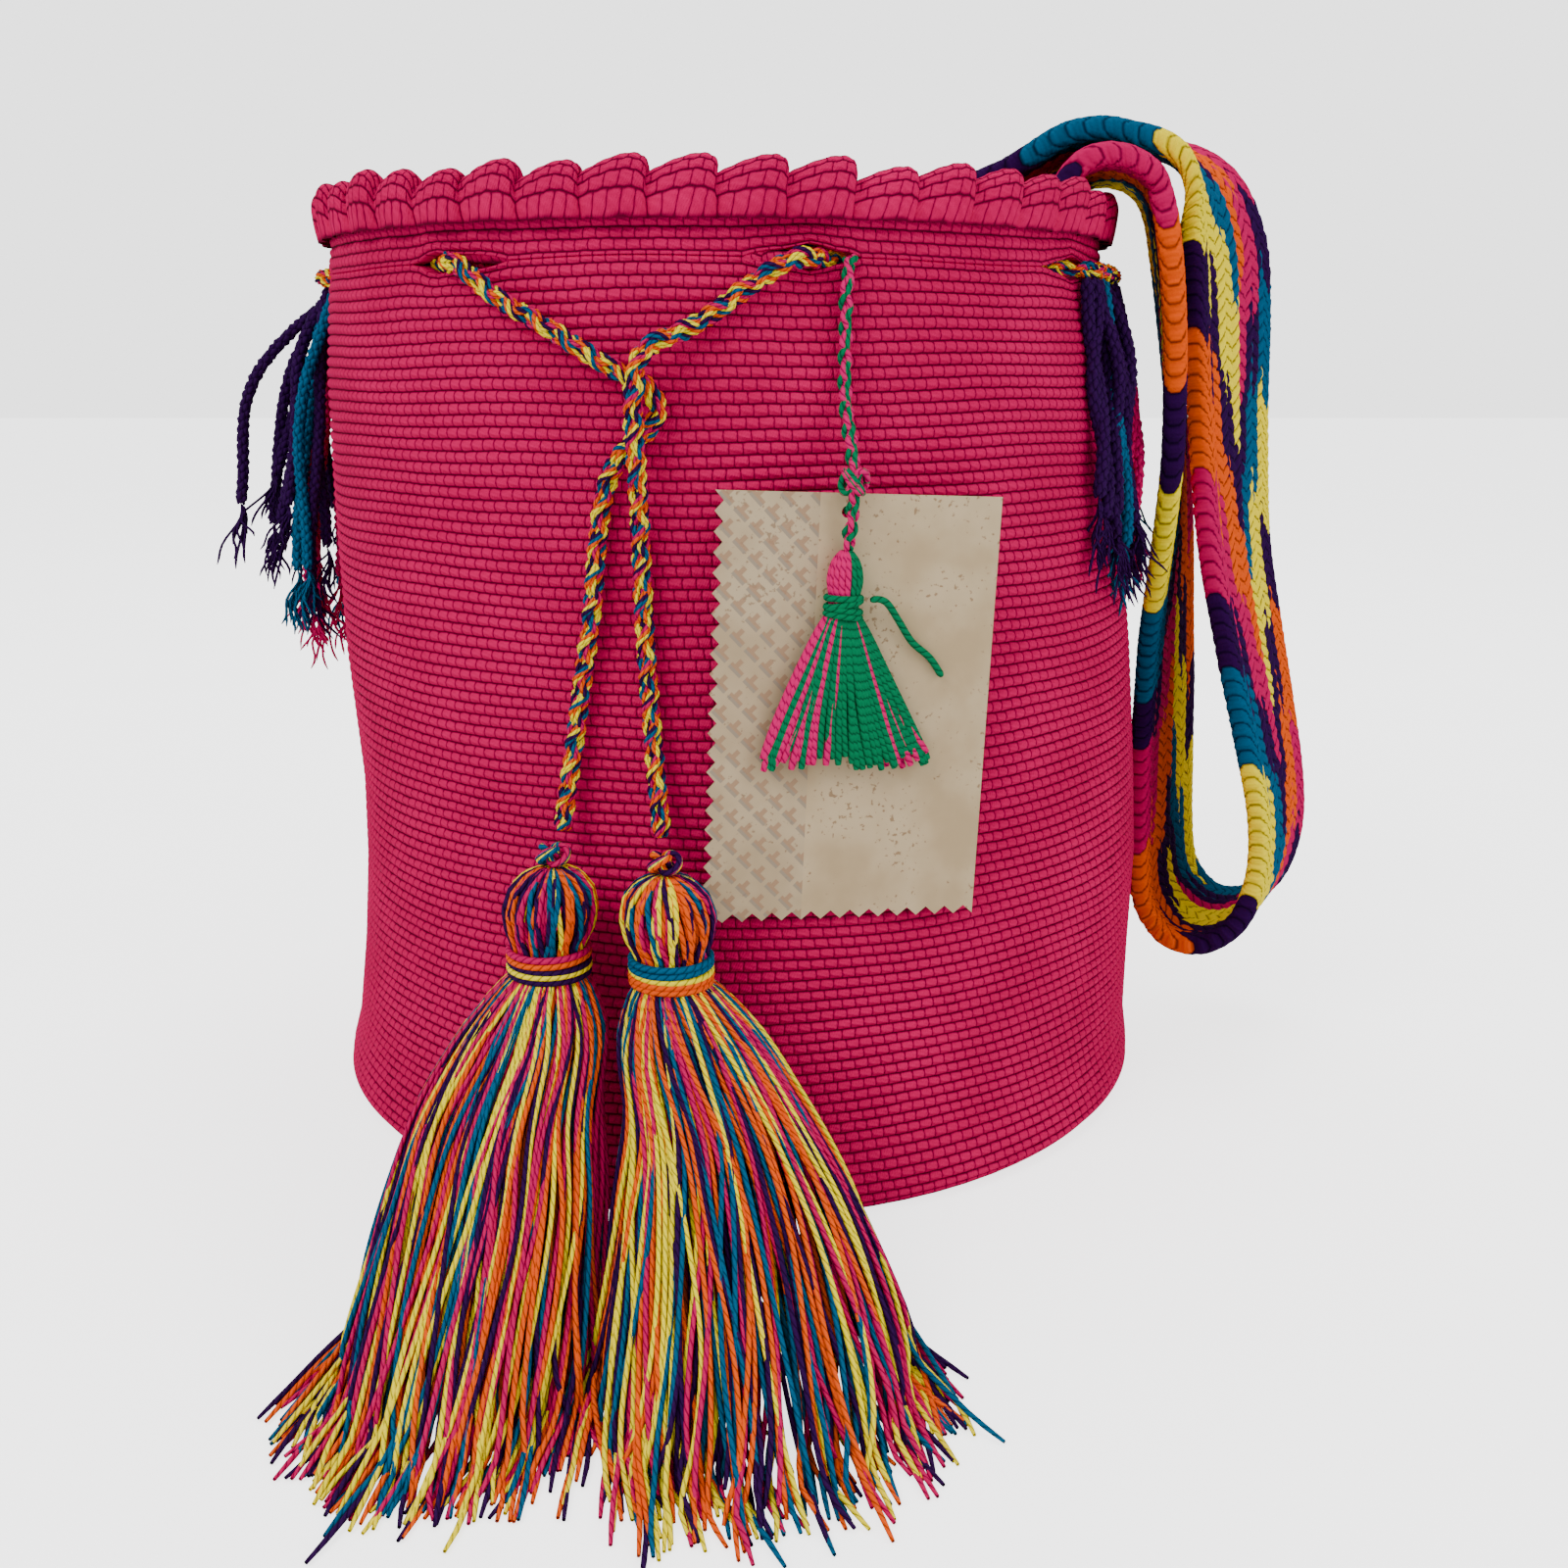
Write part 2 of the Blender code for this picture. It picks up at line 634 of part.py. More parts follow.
loft("tag_tassel", [tag_ring(*ring) for ring in TAG_TASSEL[::-1]], TAG_COLOR)


def tag_binding():
    """The yarn wound round the small tassel's neck, as an oval band."""
    rings = []
    y, x, lift = TOP - 0.0272, -0.00445, 0.0036
    rows = [(0.0024, 0.0), (0.0024, 0.0010), (0.0012, 0.0015), (-0.0012, 0.0015)]
    rows += [(-0.0024, 0.0010), (-0.0024, 0.0)]
    shape = bmesh.new()
    for high, wide in rows:
        ring = tag_ring(y + high, x, 0.0077 + 2 * wide, 0.0058 + 0.3 * wide, lift)
        rings.append([shape.verts.new(p) for p in ring])
    for a, b in zip(rings, rings[1:] + rings[:1]):
        for i in range(16):
            j = (i + 1) % 16
            shape.faces.new((a[i], a[j], b[j], b[i]))
    bmesh.ops.recalc_face_normals(shape, faces=shape.faces)
    mesh = bpy.data.meshes.new("tag_binding")
    shape.to_mesh(mesh)
    shape.free()
    return finish_mesh("tag_binding", mesh, TAG_COLOR)


tag_binding()
TAIL = 0.0018
tail_route = [
    on_card(0.0022, TOP - 0.0254, 0.0046),
    on_card(0.0045, TOP - 0.0252, 0.0046),
    on_card(0.0070, TOP - 0.0265, 0.0040),
    on_card(0.0105, TOP - 0.0310, 0.0030),
    on_card(0.0145, TOP - 0.0362, 0.0020),
    on_card(0.0195, TOP - 0.0402, 0.0016),
    on_card(0.0232, TOP - 0.0450, 0.0015),
]
tube("tag_binding_tail", tail_route, TAIL, TAG_COLOR)
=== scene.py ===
import math
import random

import bpy
import numpy as np
from mathutils import Matrix, Vector


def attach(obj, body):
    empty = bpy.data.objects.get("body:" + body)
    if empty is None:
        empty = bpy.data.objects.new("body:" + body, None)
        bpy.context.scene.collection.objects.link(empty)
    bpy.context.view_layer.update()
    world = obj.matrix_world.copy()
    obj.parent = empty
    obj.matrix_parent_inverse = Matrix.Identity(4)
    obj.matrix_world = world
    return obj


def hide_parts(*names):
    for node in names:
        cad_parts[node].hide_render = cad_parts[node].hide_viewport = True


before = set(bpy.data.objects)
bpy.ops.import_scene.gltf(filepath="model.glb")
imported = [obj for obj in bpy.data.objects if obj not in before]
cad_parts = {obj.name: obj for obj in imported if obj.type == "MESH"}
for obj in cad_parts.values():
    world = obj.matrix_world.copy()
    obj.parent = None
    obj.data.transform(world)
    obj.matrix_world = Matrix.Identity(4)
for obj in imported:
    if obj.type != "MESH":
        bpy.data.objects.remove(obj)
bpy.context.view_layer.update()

# ---- camera, floor and light ----
# The bag stands on a plain pale table top. Soft light comes from three round panels and from a pale
# room. To the camera the table top and the room are brighter than the light that they give.
camera = bpy.data.objects.new("camera", bpy.data.cameras.new("camera"))
bpy.context.scene.collection.objects.link(camera)
camera.location = (0.015, -0.517, 0.226)
camera.rotation_euler = (math.radians(90 - 14.88), 0.0, 0.0)
camera.data.lens = 36.69
camera.data.sensor_width = 36
bpy.context.scene.camera = camera


class Shade:
    """A value or colour inside a material. Sums on it add Math nodes; any other node comes from node()."""

    def __init__(self, tree, socket=None):
        self.tree = tree
        self.socket = socket

    def node(self, kind, settings=None, values=None, out=0):
        made = self.tree.nodes.new("ShaderNode" + kind)
        for name, value in (settings or {}).items():
            if name == "stops":
                stops = made.color_ramp.elements
                for _ in value[2:]:
                    stops.new(1.0)
                for stop, (place, color) in zip(stops, value):
                    stop.position = place
                    stop.color = (*color, 1.0)
            elif name == "steps":
                made.color_ramp.interpolation = value
            else:
                setattr(made, name, value)
        for name, value in (values or {}).items():
            if isinstance(value, Shade):
                self.tree.links.new(value.socket, made.inputs[name])
            else:
                made.inputs[name].default_value = value
        return Shade(self.tree, made.outputs[out])

    def sum(self, operation, *others):
        return self.node("Math", {"operation": operation}, dict(enumerate((self, *others))))

    def __add__(self, other):
        return self.sum("ADD", other)

    def __mul__(self, other):
        return self.sum("MULTIPLY", other)

    def __sub__(self, other):
        return self.sum("SUBTRACT", other)

    def __rsub__(self, other):
        return self.node("Math", {"operation": "SUBTRACT"}, {0: other, 1: self})

    def __truediv__(self, other):
        return self.sum("DIVIDE", other)

    def __pow__(self, other):
        return self.sum("POWER", other)

    __radd__ = __add__
    __rmul__ = __mul__

    def between(self, low, high):
        """This value from low to high, as 0 to 1."""
        return self.node("MapRange", {"interpolation_type": "SMOOTHSTEP"}, {0: self, 1: low, 2: high})

    def mix(self, low, high):
        """The colour low where this value is 0, and high where it is 1."""
        values = {0: self}
        for place, color in ((6, low), (7, high)):
            values[place] = color if isinstance(color, Shade) else (*color, 1.0)
        return self.node("Mix", {"data_type": "RGBA"}, values, out=2)


def finish(name, roughness):
    """A new material: its shader and the first Shade to draw on it with."""
    made = bpy.data.materials.new(name)
    made.use_nodes = True
    shader = made.node_tree.nodes["Principled BSDF"]
    shader.inputs["Roughness"].default_value = roughness
    shader.inputs["Specular IOR Level"].default_value = 0.05
    return made, shader, Shade(made.node_tree)


def put(shader, socket, shade):
    shade.tree.links.new(shade.socket, shader.inputs[socket])


def place(name, mesh, *materials):
    """An object for a mesh, with its materials in order."""
    for material in materials:
        mesh.materials.append(material)
    made = bpy.data.objects.new(name, mesh)
    bpy.context.scene.collection.objects.link(made)
    return made


floor_mesh = bpy.data.meshes.new("table_top")
FLOOR = 6.0
floor_mesh.from_pydata(
    [(-FLOOR, -FLOOR, 0), (FLOOR, -FLOOR, 0), (FLOOR, FLOOR, 0), (-FLOOR, FLOOR, 0)],
    [],
    [(0, 1, 2, 3)],
)
floor_finish, floor_shader, draw = finish("table_top", roughness=0.75)
grain = draw.node("TexNoise", {}, {"Vector": draw.node("TexCoord", out=3), "Scale": 9.0})
put(floor_shader, "Base Color", grain.between(0.3, 0.7).mix((0.86, 0.86, 0.86), (0.89, 0.89, 0.89)))
seen = draw.node("LightPath")
put(floor_shader, "Emission Color", seen.mix((0.0, 0.0, 0.0), (1.0, 1.0, 1.0)))
floor_shader.inputs["Emission Strength"].default_value = 2.3
place("table_top", floor_mesh, floor_finish)

world = bpy.data.worlds.new("room")
world.use_nodes = True
nodes, links = world.node_tree.nodes, world.node_tree.links
nodes["Background"].inputs["Color"].default_value = (0.97, 0.98, 1.0, 1.0)
nodes["Background"].inputs["Strength"].default_value = 0.80
bright = nodes.new("ShaderNodeBackground")
bright.inputs["Strength"].default_value = 3.15
chosen = nodes.new("ShaderNodeMixShader")
links.new(nodes.new("ShaderNodeLightPath").outputs["Is Camera Ray"], chosen.inputs[0])
links.new(nodes["Background"].outputs[0], chosen.inputs[1])
links.new(bright.outputs[0], chosen.inputs[2])
links.new(chosen.outputs[0], nodes["World Output"].inputs["Surface"])
bpy.context.scene.world = world
for name, spot, size, power in (
    ("panel_left", (-0.9, -1.1, 1.5), 1.1, 21.0),
    ("panel_right", (1.3, -0.8, 0.9), 1.0, 9.0),
    ("panel_top", (0.1, 0.5, 1.7), 1.2, 12.0),
):
    light = bpy.data.lights.new(name, "AREA")
    light.shape = "DISK"
    light.size = size
    light.energy = power
    panel = bpy.data.objects.new(name, light)
    bpy.context.scene.collection.objects.link(panel)
    panel.location = spot
    panel.rotation_euler = (Vector((0, 0, 0.14)) - panel.location).to_track_quat("-Z", "Y").to_euler()


# ---- bag wall and base ----
# Hot pink cotton in tight single crochet, worked round and round from the middle of the base up
# to the edging. Each row is a ridge in the mesh, and its stitches are drawn by the material.
WALL = 0.004
STITCHES = 220
SLITS = 8
SLIT_FRONT = -32.5
SLIT_HALF = 7.0  # degrees
SLIT_Z = 0.2495
EDGE_Z = 0.2596  # where the edging starts
PROFILE = [
    (0.0000, 0.1262, 0.0),
    (0.0012, 0.1284, 0.0),
    (0.0045, 0.1310, 0.0002),
    (0.0095, 0.1305, 0.0004),
    (0.0200, 0.1284, 0.0010),
    (0.0450, 0.1269, 0.0025),
    (0.0750, 0.1258, 0.0040),
    (0.1000, 0.1246, 0.0035),
    (0.1400, 0.1240, 0.0005),
    (0.1700, 0.1224, -0.0015),
    (0.1950, 0.1208, -0.0030),
    (0.2220, 0.1194, -0.0040),
    (0.2380, 0.1174, -0.0045),
    (0.2580, 0.1148, -0.0050),
    (0.2655, 0.1160, -0.0050),
    (0.2725, 0.1178, -0.0050),
]
HEIGHTS, RADII, SWAYS = (np.array(column) for column in zip(*PROFILE))
ROW = 0.00295


def radius_at(z):
    return np.interp(z, HEIGHTS, RADII)


def sway_at(z):
    return np.interp(z, HEIGHTS, SWAYS)


def round_wall(degrees, z, out=0.0):
    """A point at that angle from the front and that far outside the wall."""
    a = np.radians(degrees)
    r = radius_at(z) + out
    return np.stack(np.broadcast_arrays(sway_at(z) + r * np.sin(a), -r * np.cos(a), z), axis=-1)


def before_wall(x, z, out):
    """A point at that x and z, that far in front of the wall."""
    r = radius_at(z) + out
    return (x, -math.sqrt(r * r - (x - sway_at(z)) ** 2), z)


def mesh_of(name, points, faces, weave, slots=None):
    """A smooth mesh of four-sided faces. weave is the place in the stitches of each corner of each face."""
    mesh = bpy.data.meshes.new(name)
    points = np.asarray(points, np.float32).reshape(-1, 3)
    faces = np.asarray(faces, np.int32)
    mesh.vertices.add(len(points))
    mesh.vertices.foreach_set("co", points.ravel())
    mesh.loops.add(faces.size)
    mesh.loops.foreach_set("vertex_index", faces.ravel())
    mesh.polygons.add(len(faces))
    mesh.polygons.foreach_set("loop_start", np.arange(0, faces.size, faces.shape[1], dtype=np.int32))
    mesh.update(calc_edges=True)
    mesh.uv_layers.new(name="weave").data.foreach_set("uv", np.asarray(weave, np.float32).ravel())
    if slots is not None:
        mesh.polygons.foreach_set("material_index", np.asarray(slots, np.int32).ravel())
    mesh.shade_smooth()
    mesh.validate()
    return mesh


def grid(name, points, u, v):
    """A closed band of points, rings by columns. Its weave is u round, one value more than columns, by v."""
    rings, columns = points.shape[:2]
    i, j = np.meshgrid(np.arange(rings - 1), np.arange(columns), indexing="ij")
    k = (j + 1) % columns
    faces = np.stack([i * columns + j, i * columns + k, (i + 1) * columns + k, (i + 1) * columns + j], -1)
    corners = ((j, i), (j + 1, i), (j + 1, i + 1), (j, i + 1))
    weave = np.stack([np.stack([u[across], v[along]], -1) for across, along in corners], 2)
    return mesh_of(name, points, faces.reshape(-1, 4), weave.reshape(-1, 2))


def slit_opening(degrees):
    """Half the height that the fabric opens at each angle: a lens at each slit, wider round a cord."""
    half = np.zeros_like(degrees)
    for number in range(SLITS):
        away = (degrees - SLIT_FRONT - number * 360 / SLITS + 180) % 360 - 180
        t = away / SLIT_HALF
        through = {0: -0.62, 1: 0.12}.get(number, 0.0)
        lens = 0.0019 * np.sqrt(np.clip(1 - t * t, 0, 1))
        half += lens * (1 + 0.75 * np.exp(-(((t - through) / 0.3) ** 2)))
    return half


def ridge(rows):
    """How far the fabric is drawn in between its rows."""
    return -0.0009 * (1 - np.abs(np.sin(np.pi * rows)) ** 0.7)


def uneven(a, z):
    """Slow unevenness of handmade rows, in metres up or down."""
    wave = np.sin(2 * a + z * 31) + 0.7 * np.sin(5 * a - z * 47 + 1.3) + 0.5 * np.sin(11 * a + z * 90)
    return 0.00042 * wave


def crocheted(name, z, rows, out, columns, side=1):
    """A turned stretch of the wall: heights, row numbers and distances outside the wall, ring by ring."""
    degrees = np.arange(columns) * 360 / columns
    a = np.radians(degrees)
    z, rows, out = (np.asarray(x, float)[:, None] for x in (z, rows, out))
    lift = uneven(a, z) * np.clip(z / 0.02, 0, 1) * np.clip((EDGE_Z - z) / 0.01, 0, 1)
    away = np.abs(z - SLIT_Z)
    gap = np.where(z > SLIT_Z, 1, -1) * slit_opening(degrees) * np.exp(-away / 0.005)
    dent = 0.0006 * np.sin(3 * a + 2 + z * 12) * np.clip(z / 0.05, 0, 1)
    points = round_wall(degrees, z + 0 * a, out + side * ridge(rows) + dent)
    points[..., 2] += lift + gap
    return grid(name, points[::side], np.arange(columns + 1) * STITCHES / columns, rows[:, 0])


def weave_place(draw):
    """The place in the weave: across it, and along it."""
    weave = draw.node("UVMap", {"uv_map": "weave"})
    return [draw.node("SeparateXYZ", {}, {0: weave}, out=axis) for axis in (0, 1)]


def crochet_finish(name, color, painted_gap_shade):
    """Single crochet: a brick of crossed loops for each stitch, with painted shade in the gaps between them.
    """
    made, shader, draw = finish(name, 0.95)
    across, up = weave_place(draw)
    cloth = draw.node("TexCoord", out=3)
    wobble = draw.node("TexNoise", {}, {"Vector": cloth, "Scale": 210.0, "Detail": 2.0})
    slow = draw.node("TexNoise", {}, {"Vector": cloth, "Scale": 34.0, "Detail": 3.0})
    fuzz = draw.node("TexNoise", {}, {"Vector": cloth, "Scale": 1500.0, "Detail": 3.0, "Roughness": 0.7})
    rows = up + (wobble - 0.5) * 0.22
    row = rows.sum("FLOOR")
    stitch = across + row * 0.37 + (wobble - 0.5) * 0.30
    high = (rows - row - 0.5).sum("ABSOLUTE") * 2
    wide = (stitch.sum("FRACT") - 0.5).sum("ABSOLUTE") * 2
    brick = (1 - high**3.2) * (1 - (wide**7) * 0.8)
    loops = ((stitch.sum("FRACT") * 0.8 + rows * 2.0) * (2 * math.pi)).sum("SINE") * 0.5 + 0.5
    plies = ((stitch * 5.0 - rows * 2.2) * (2 * math.pi)).sum("SINE") * 0.5 + 0.5
    height = brick + loops * 0.20 + plies * 0.10 + fuzz * 0.22
    # Painted shade: the colour darkens in the gaps between the bricks. The tone varies at random, and is
    # painted a little lighter on the raised loops.
    light = brick.between(0.05, 0.75)
    tone = (slow.between(0.3, 0.7) * 0.45 + fuzz * 0.35 + loops * 0.25).mix(color[0], color[1])
    put(shader, "Base Color", light.mix(painted_gap_shade, tone))
    put(shader, "Roughness", 0.98 - fuzz * 0.12)
    put(shader, "Normal", draw.node("Bump", {}, {"Height": height, "Distance": 0.0009, "Strength": 0.85}))
    return made


# The third colour is the painted shade in the gaps between the stitches.
pink_crochet = crochet_finish(
    "pink_crochet", ((0.46, 0.0, 0.066), (0.66, 0.0, 0.105)), (0.12, 0.0, 0.020)
)

rings = np.arange(0.0, SLIT_Z - 0.0003, ROW / 4)
bag_wall = place(
    "bag_wall",
    crocheted(
        "bag_wall",
        [*rings, *[SLIT_Z] * 3],
        [*(rings / ROW), *[SLIT_Z / ROW] * 3],
        [*(0 * rings), -0.0006, -0.0020, -WALL],
        STITCHES,
    ),
    pink_crochet,
)
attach(bag_wall, "root")
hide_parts("bag_body")

inside = np.arange(WALL + 0.001, SLIT_Z, ROW / 2)
bag_inside = place(
    "bag_inside",
    crocheted(
        "bag_inside",
        [*inside, SLIT_Z],
        [*(inside / ROW), SLIT_Z / ROW],
        [-WALL] * (len(inside) + 1),
        STITCHES // 2,
        -1,
    ),
    pink_crochet,
)
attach(bag_inside, "root")


BASE_COLUMNS = 80


def round_base(name, z, reach, side):
    """The flat bottom, worked in rings from its middle."""
    rows = np.arange(0.15, reach / ROW, 1 / 2)
    a = np.radians(np.arange(BASE_COLUMNS) * 360 / BASE_COLUMNS)
    r = rows[:, None] * ROW
    height = z - side * (ridge(rows)[:, None] + 0 * a)
    points = np.stack(np.broadcast_arrays(r * np.sin(a), -r * np.cos(a), height), -1)
    return grid(name, points[::side], np.arange(BASE_COLUMNS + 1) * STITCHES / BASE_COLUMNS, rows)


bag_base = place("bag_base", round_base("bag_base", 0.0, 0.1278, 1), pink_crochet)
bag_floor = place("bag_floor", round_base("bag_floor", WALL + 0.001, 0.1255, -1), pink_crochet)
for piece in (bag_base, bag_floor):
    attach(piece, "root")


# ---- bag rim and scalloped edging ----
# The last rows above the slits, and on them a border of leaning shells in the same crochet: each
# one starts low, rises, and rounds over against the next.
SHELLS = 44
SHELL_COLUMNS = 16
SHELL_STITCHES = 5
rim = np.arange(SLIT_Z + 0.0003, EDGE_Z + 0.0012, ROW / 4)
LIP_Z = SLIT_Z + 0.0001
rim_z = [LIP_Z, LIP_Z, LIP_Z, *rim, *rim[::-2], LIP_Z]
rim_out = [-WALL, -0.0020, -0.0006, *(0 * rim), *(0 * rim[::-2] - WALL), -WALL]
bag_rim = place(
    "bag_rim",
    crocheted("bag_rim", rim_z, np.array(rim_z) / ROW, rim_out, STITCHES),
    pink_crochet,
)


def shell_border():
    """The shells as one band over the rim, ring by ring from outside over the top to inside."""
    columns, rings = SHELLS * SHELL_COLUMNS, 26
    t = (np.arange(columns) / SHELL_COLUMNS) % 1.0
    number = np.arange(columns) // SHELL_COLUMNS
    rise = np.sin(np.pi * t**1.3) ** 0.6
    uneven_shell = 0.0008 * np.sin(number * 2.4) + 0.0005 * np.sin(number * 5.1 + 1)
    top = 0.2676 + uneven_shell + 0.0044 * rise
    half = 0.0028 + 0.0024 * rise
    degrees = np.arange(columns) * 360 / columns + 2.0
    s = np.linspace(0, 1, rings)[:, None]
    over = np.sin(np.pi * s) ** 0.7
    z = EDGE_Z - 0.0012 + (top - EDGE_Z + 0.0012) * over
    lean = degrees + 1.8 * over * rise
    out = -WALL / 2 + half * np.cos(np.pi * s) + 0.0010 * over
    plump = 0.0006 * np.sqrt(np.abs(np.sin(np.pi * (t * SHELL_STITCHES - s * 1.5))))
    return round_wall(lean, z + plump * over * 0.8, out + plump * np.cos(np.pi * s))


border_points = shell_border()
border_stitches = np.arange(SHELLS * SHELL_COLUMNS + 1) * SHELL_STITCHES / SHELL_COLUMNS
border_mesh = grid("edging", border_points, border_stitches, np.linspace(0, 9, len(border_points)))
edging = place("edging", border_mesh, pink_crochet)
for piece in (bag_rim, edging):
    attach(piece, "root")


# ---- drawstring ----
# One cord, plaited from four strands of several thin plied cotton yarns each. It is laced through
# the slits round the rim, and its two free ends cross in a knot in front and hang to the tassels.
CORD = 0.005
CORD_YARN = 0.00052  # radius
YELLOW = (0.92, 0.74, 0.0)
ORANGE = (0.78, 0.085, 0.0)
PINK = (0.52, 0.0, 0.09)
TEAL = (0.0, 0.085, 0.18)
PURPLE = (0.022, 0.0, 0.048)


def yarn_finish(name, color):
    """Plied cotton: slanting plies along a thin round yarn, with painted shade between them, and a soft fuzz.
    """
    made, shader, draw = finish(name, 0.85)
    around, along = weave_place(draw)
    fuzz = draw.node("TexNoise", {}, {"Vector": draw.node("TexCoord", out=3), "Scale": 1800.0, "Detail": 2.0})
    ply = ((around * 2.0 + along) * math.pi).sum("SINE").sum("ABSOLUTE")
    # Painted shade: a darker copy of the yarn's colour, laid in the grooves between the plies.
    painted_gap_shade = tuple(0.42 * c for c in color)
    pale = tuple(min(1.0, 1.12 * c + 0.004) for c in color)
    body = (fuzz.between(0.25, 0.75)).mix(color, pale)
    put(shader, "Base Color", ply.between(0.0, 0.6).mix(painted_gap_shade, body))
    put(shader, "Roughness", 0.95 - fuzz * 0.2)
    bump = {"Height": ply + fuzz * 0.3, "Distance": 0.0003, "Strength": 0.8}
    put(shader, "Normal", draw.node("Bump", {}, bump))
    return made


YARNS = [
    yarn_finish("yellow_yarn", YELLOW),
    yarn_finish("orange_yarn", ORANGE),
    yarn_finish("pink_yarn", PINK),
    yarn_finish("teal_yarn", TEAL),
    yarn_finish("purple_yarn", PURPLE),
]
YEL, ORA, PIN, TEA, PUR = range(5)


def distances(line):
    """How far along the line each of its points is."""
    return np.concatenate([[0], np.cumsum(np.linalg.norm(np.diff(line, axis=0), axis=1))])


def points_at(line, places):
    """Points of the line at those places, counted in its own points."""
    return np.stack([np.interp(places, np.arange(len(line)), line[:, axis]) for axis in range(3)], -1)


def smooth_route(route, step):
    """Points a step apart on a smooth curve through the route's points."""
    route = np.asarray(route, float)
    ends = np.concatenate([[2 * route[0] - route[1]], route, [2 * route[-1] - route[-2]]])
    t = np.linspace(0, 1, 24, endpoint=False)[:, None]
    fine = []
    for a, b, c, d in zip(ends, ends[1:], ends[2:], ends[3:]):
        fine.append(
            0.5 * (2 * b + (c - a) * t + (2 * a - 5 * b + 4 * c - d) * t**2 + (3 * b - a - 3 * c + d) * t**3)
        )
    fine = np.concatenate([*fine, route[-1:]])
    run = distances(fine)
    even = np.linspace(0, run[-1], max(3, round(run[-1] / step) + 1))
    return np.stack([np.interp(even, run, fine[:, k]) for k in range(3)], -1)


def unit(v):
    return v / np.linalg.norm(v, axis=-1, keepdims=True)


def frames(lines):
    """For lines of equally many points: the way along them, and two ways across that turn little."""
    along = unit(np.gradient(lines, axis=1))
    side = unit(np.cross(along[:, 0], (0.31, 0.52, 0.80)))
    across = np.empty_like(lines)
    for i in range(lines.shape[1]):
        side = unit(side - (side * along[:, i]).sum(-1, keepdims=True) * along[:, i])
        across[:, i] = side
    return along, across, np.cross(along, across)


def spun(name, lines, radius, picks, sides=6, twist=0.0022, ends=0.35):
    """One mesh of many round yarns. picks gives each one's material, and twist the length of a ply's turn."""
    lines = np.asarray(lines, float)
    count, length = lines.shape[:2]
    _, across, other = frames(lines)
    turn = np.arange(sides) * 2 * np.pi / sides
    thick = np.broadcast_to(np.asarray(radius, float).reshape(-1, 1), (count, length)).copy()
    thick[:, [0, -1]] *= ends
    ring = across[:, :, None] * np.cos(turn)[:, None] + other[:, :, None] * np.sin(turn)[:, None]
    points = lines[:, :, None] + ring * thick[:, :, None, None]
    n, i, j = np.meshgrid(np.arange(count), np.arange(length - 1), np.arange(sides), indexing="ij")
    k = (j + 1) % sides
    at = (n * length + i) * sides
    faces = np.stack([at + j, at + k, at + sides + k, at + sides + j], -1).reshape(-1, 4)
    step = np.linalg.norm(np.diff(lines, axis=1), axis=-1)
    run = np.concatenate([np.zeros((count, 1)), np.cumsum(step, 1)], 1) / twist
    low, high = run[n, i], run[n, i + 1]
    u, w = j / sides, (j + 1) / sides
    weave = np.stack(
        [np.stack([u, low], -1), np.stack([w, low], -1), np.stack([w, high], -1), np.stack([u, high], -1)], -2
    )
    slots = np.broadcast_to(np.asarray(picks).reshape(-1, 1, 1), n.shape)
    return mesh_of(name, points, faces, weave.reshape(-1, 2), slots.reshape(-1))


def plaited(route, width, pitch, strands, step=0.0008, lay=0.0065):
    """Yarns of a round four-strand plait along a route. strands lists each strand's yarns by colour."""
    line = smooth_route(route, step)[None]
    _, across, other = frames(line)
    across, other = across[0], other[0]
    line = line[0]
    run = np.arange(len(line)) * step
    t = 2 * np.pi * run / pitch
    strand_r = width * 0.25
    lines, picks = [], []
    for number, yarns in enumerate(strands):
        way = 1 if number < 2 else -1
        turn = way * t + np.pi * (number % 2) + (0 if way > 0 else np.pi / 2)
        reach = width * (0.255 + way * 0.085 * np.cos(2 * (t - np.pi / 4)))
        middle = line + across * (reach * np.cos(turn))[:, None] + other * (reach * np.sin(turn))[:, None]
        for k, yarn in enumerate(yarns):
            a = 2 * np.pi * (run / lay + k / len(yarns)) + number
            off = strand_r * 0.52
            lines.append(middle + across * (off * np.cos(a))[:, None] + other * (off * np.sin(a))[:, None])
            picks.append(yarn)
    return lines, picks, line


STRANDS = [
    (YEL, ORA, TEA, YEL),
    (PUR, YEL, ORA, TEA),
    (ORA, PIN, PUR, YEL),
    (PIN, TEA, PUR, ORA),
]
PLAIT = 0.0165  # length of one turn of a strand
LEFT_END = [
    (-0.0745, 0.2495, -0.0073),
    (-0.0716, 0.2495, -0.0062),
    (-0.0700, 0.2495, -0.0035),
    (-0.0690, 0.2495, 0.0005),
    (-0.0673, 0.2494, 0.0036),
    (-0.0642, 0.2478, 0.0042),
    (-0.0590, 0.2435, 0.0038),
    (-0.0530, 0.2393, 0.0033),
    (-0.0460, 0.2355, 0.0031),
    (-0.0390, 0.2315, 0.0031),
    (-0.0320, 0.2272, 0.0031),
    (-0.0250, 0.2232, 0.0030),
    (-0.0185, 0.2200, 0.0030),
    (-0.0155, 0.2150, 0.0030),
    (-0.0175, 0.2098, 0.0030),
    (-0.0225, 0.2058, 0.0030),
    (-0.0265, 0.2005, 0.0030),
    (-0.0292, 0.1930, 0.0030),
    (-0.0312, 0.1800, 0.0032),
    (-0.0328, 0.1650, 0.0034),
    (-0.0355, 0.1486, 0.0036),
    (-0.0380, 0.1330, 0.0040),
    (-0.0402, 0.1200, 0.0052),
    (-0.0418, 0.1094, 0.0075),
]
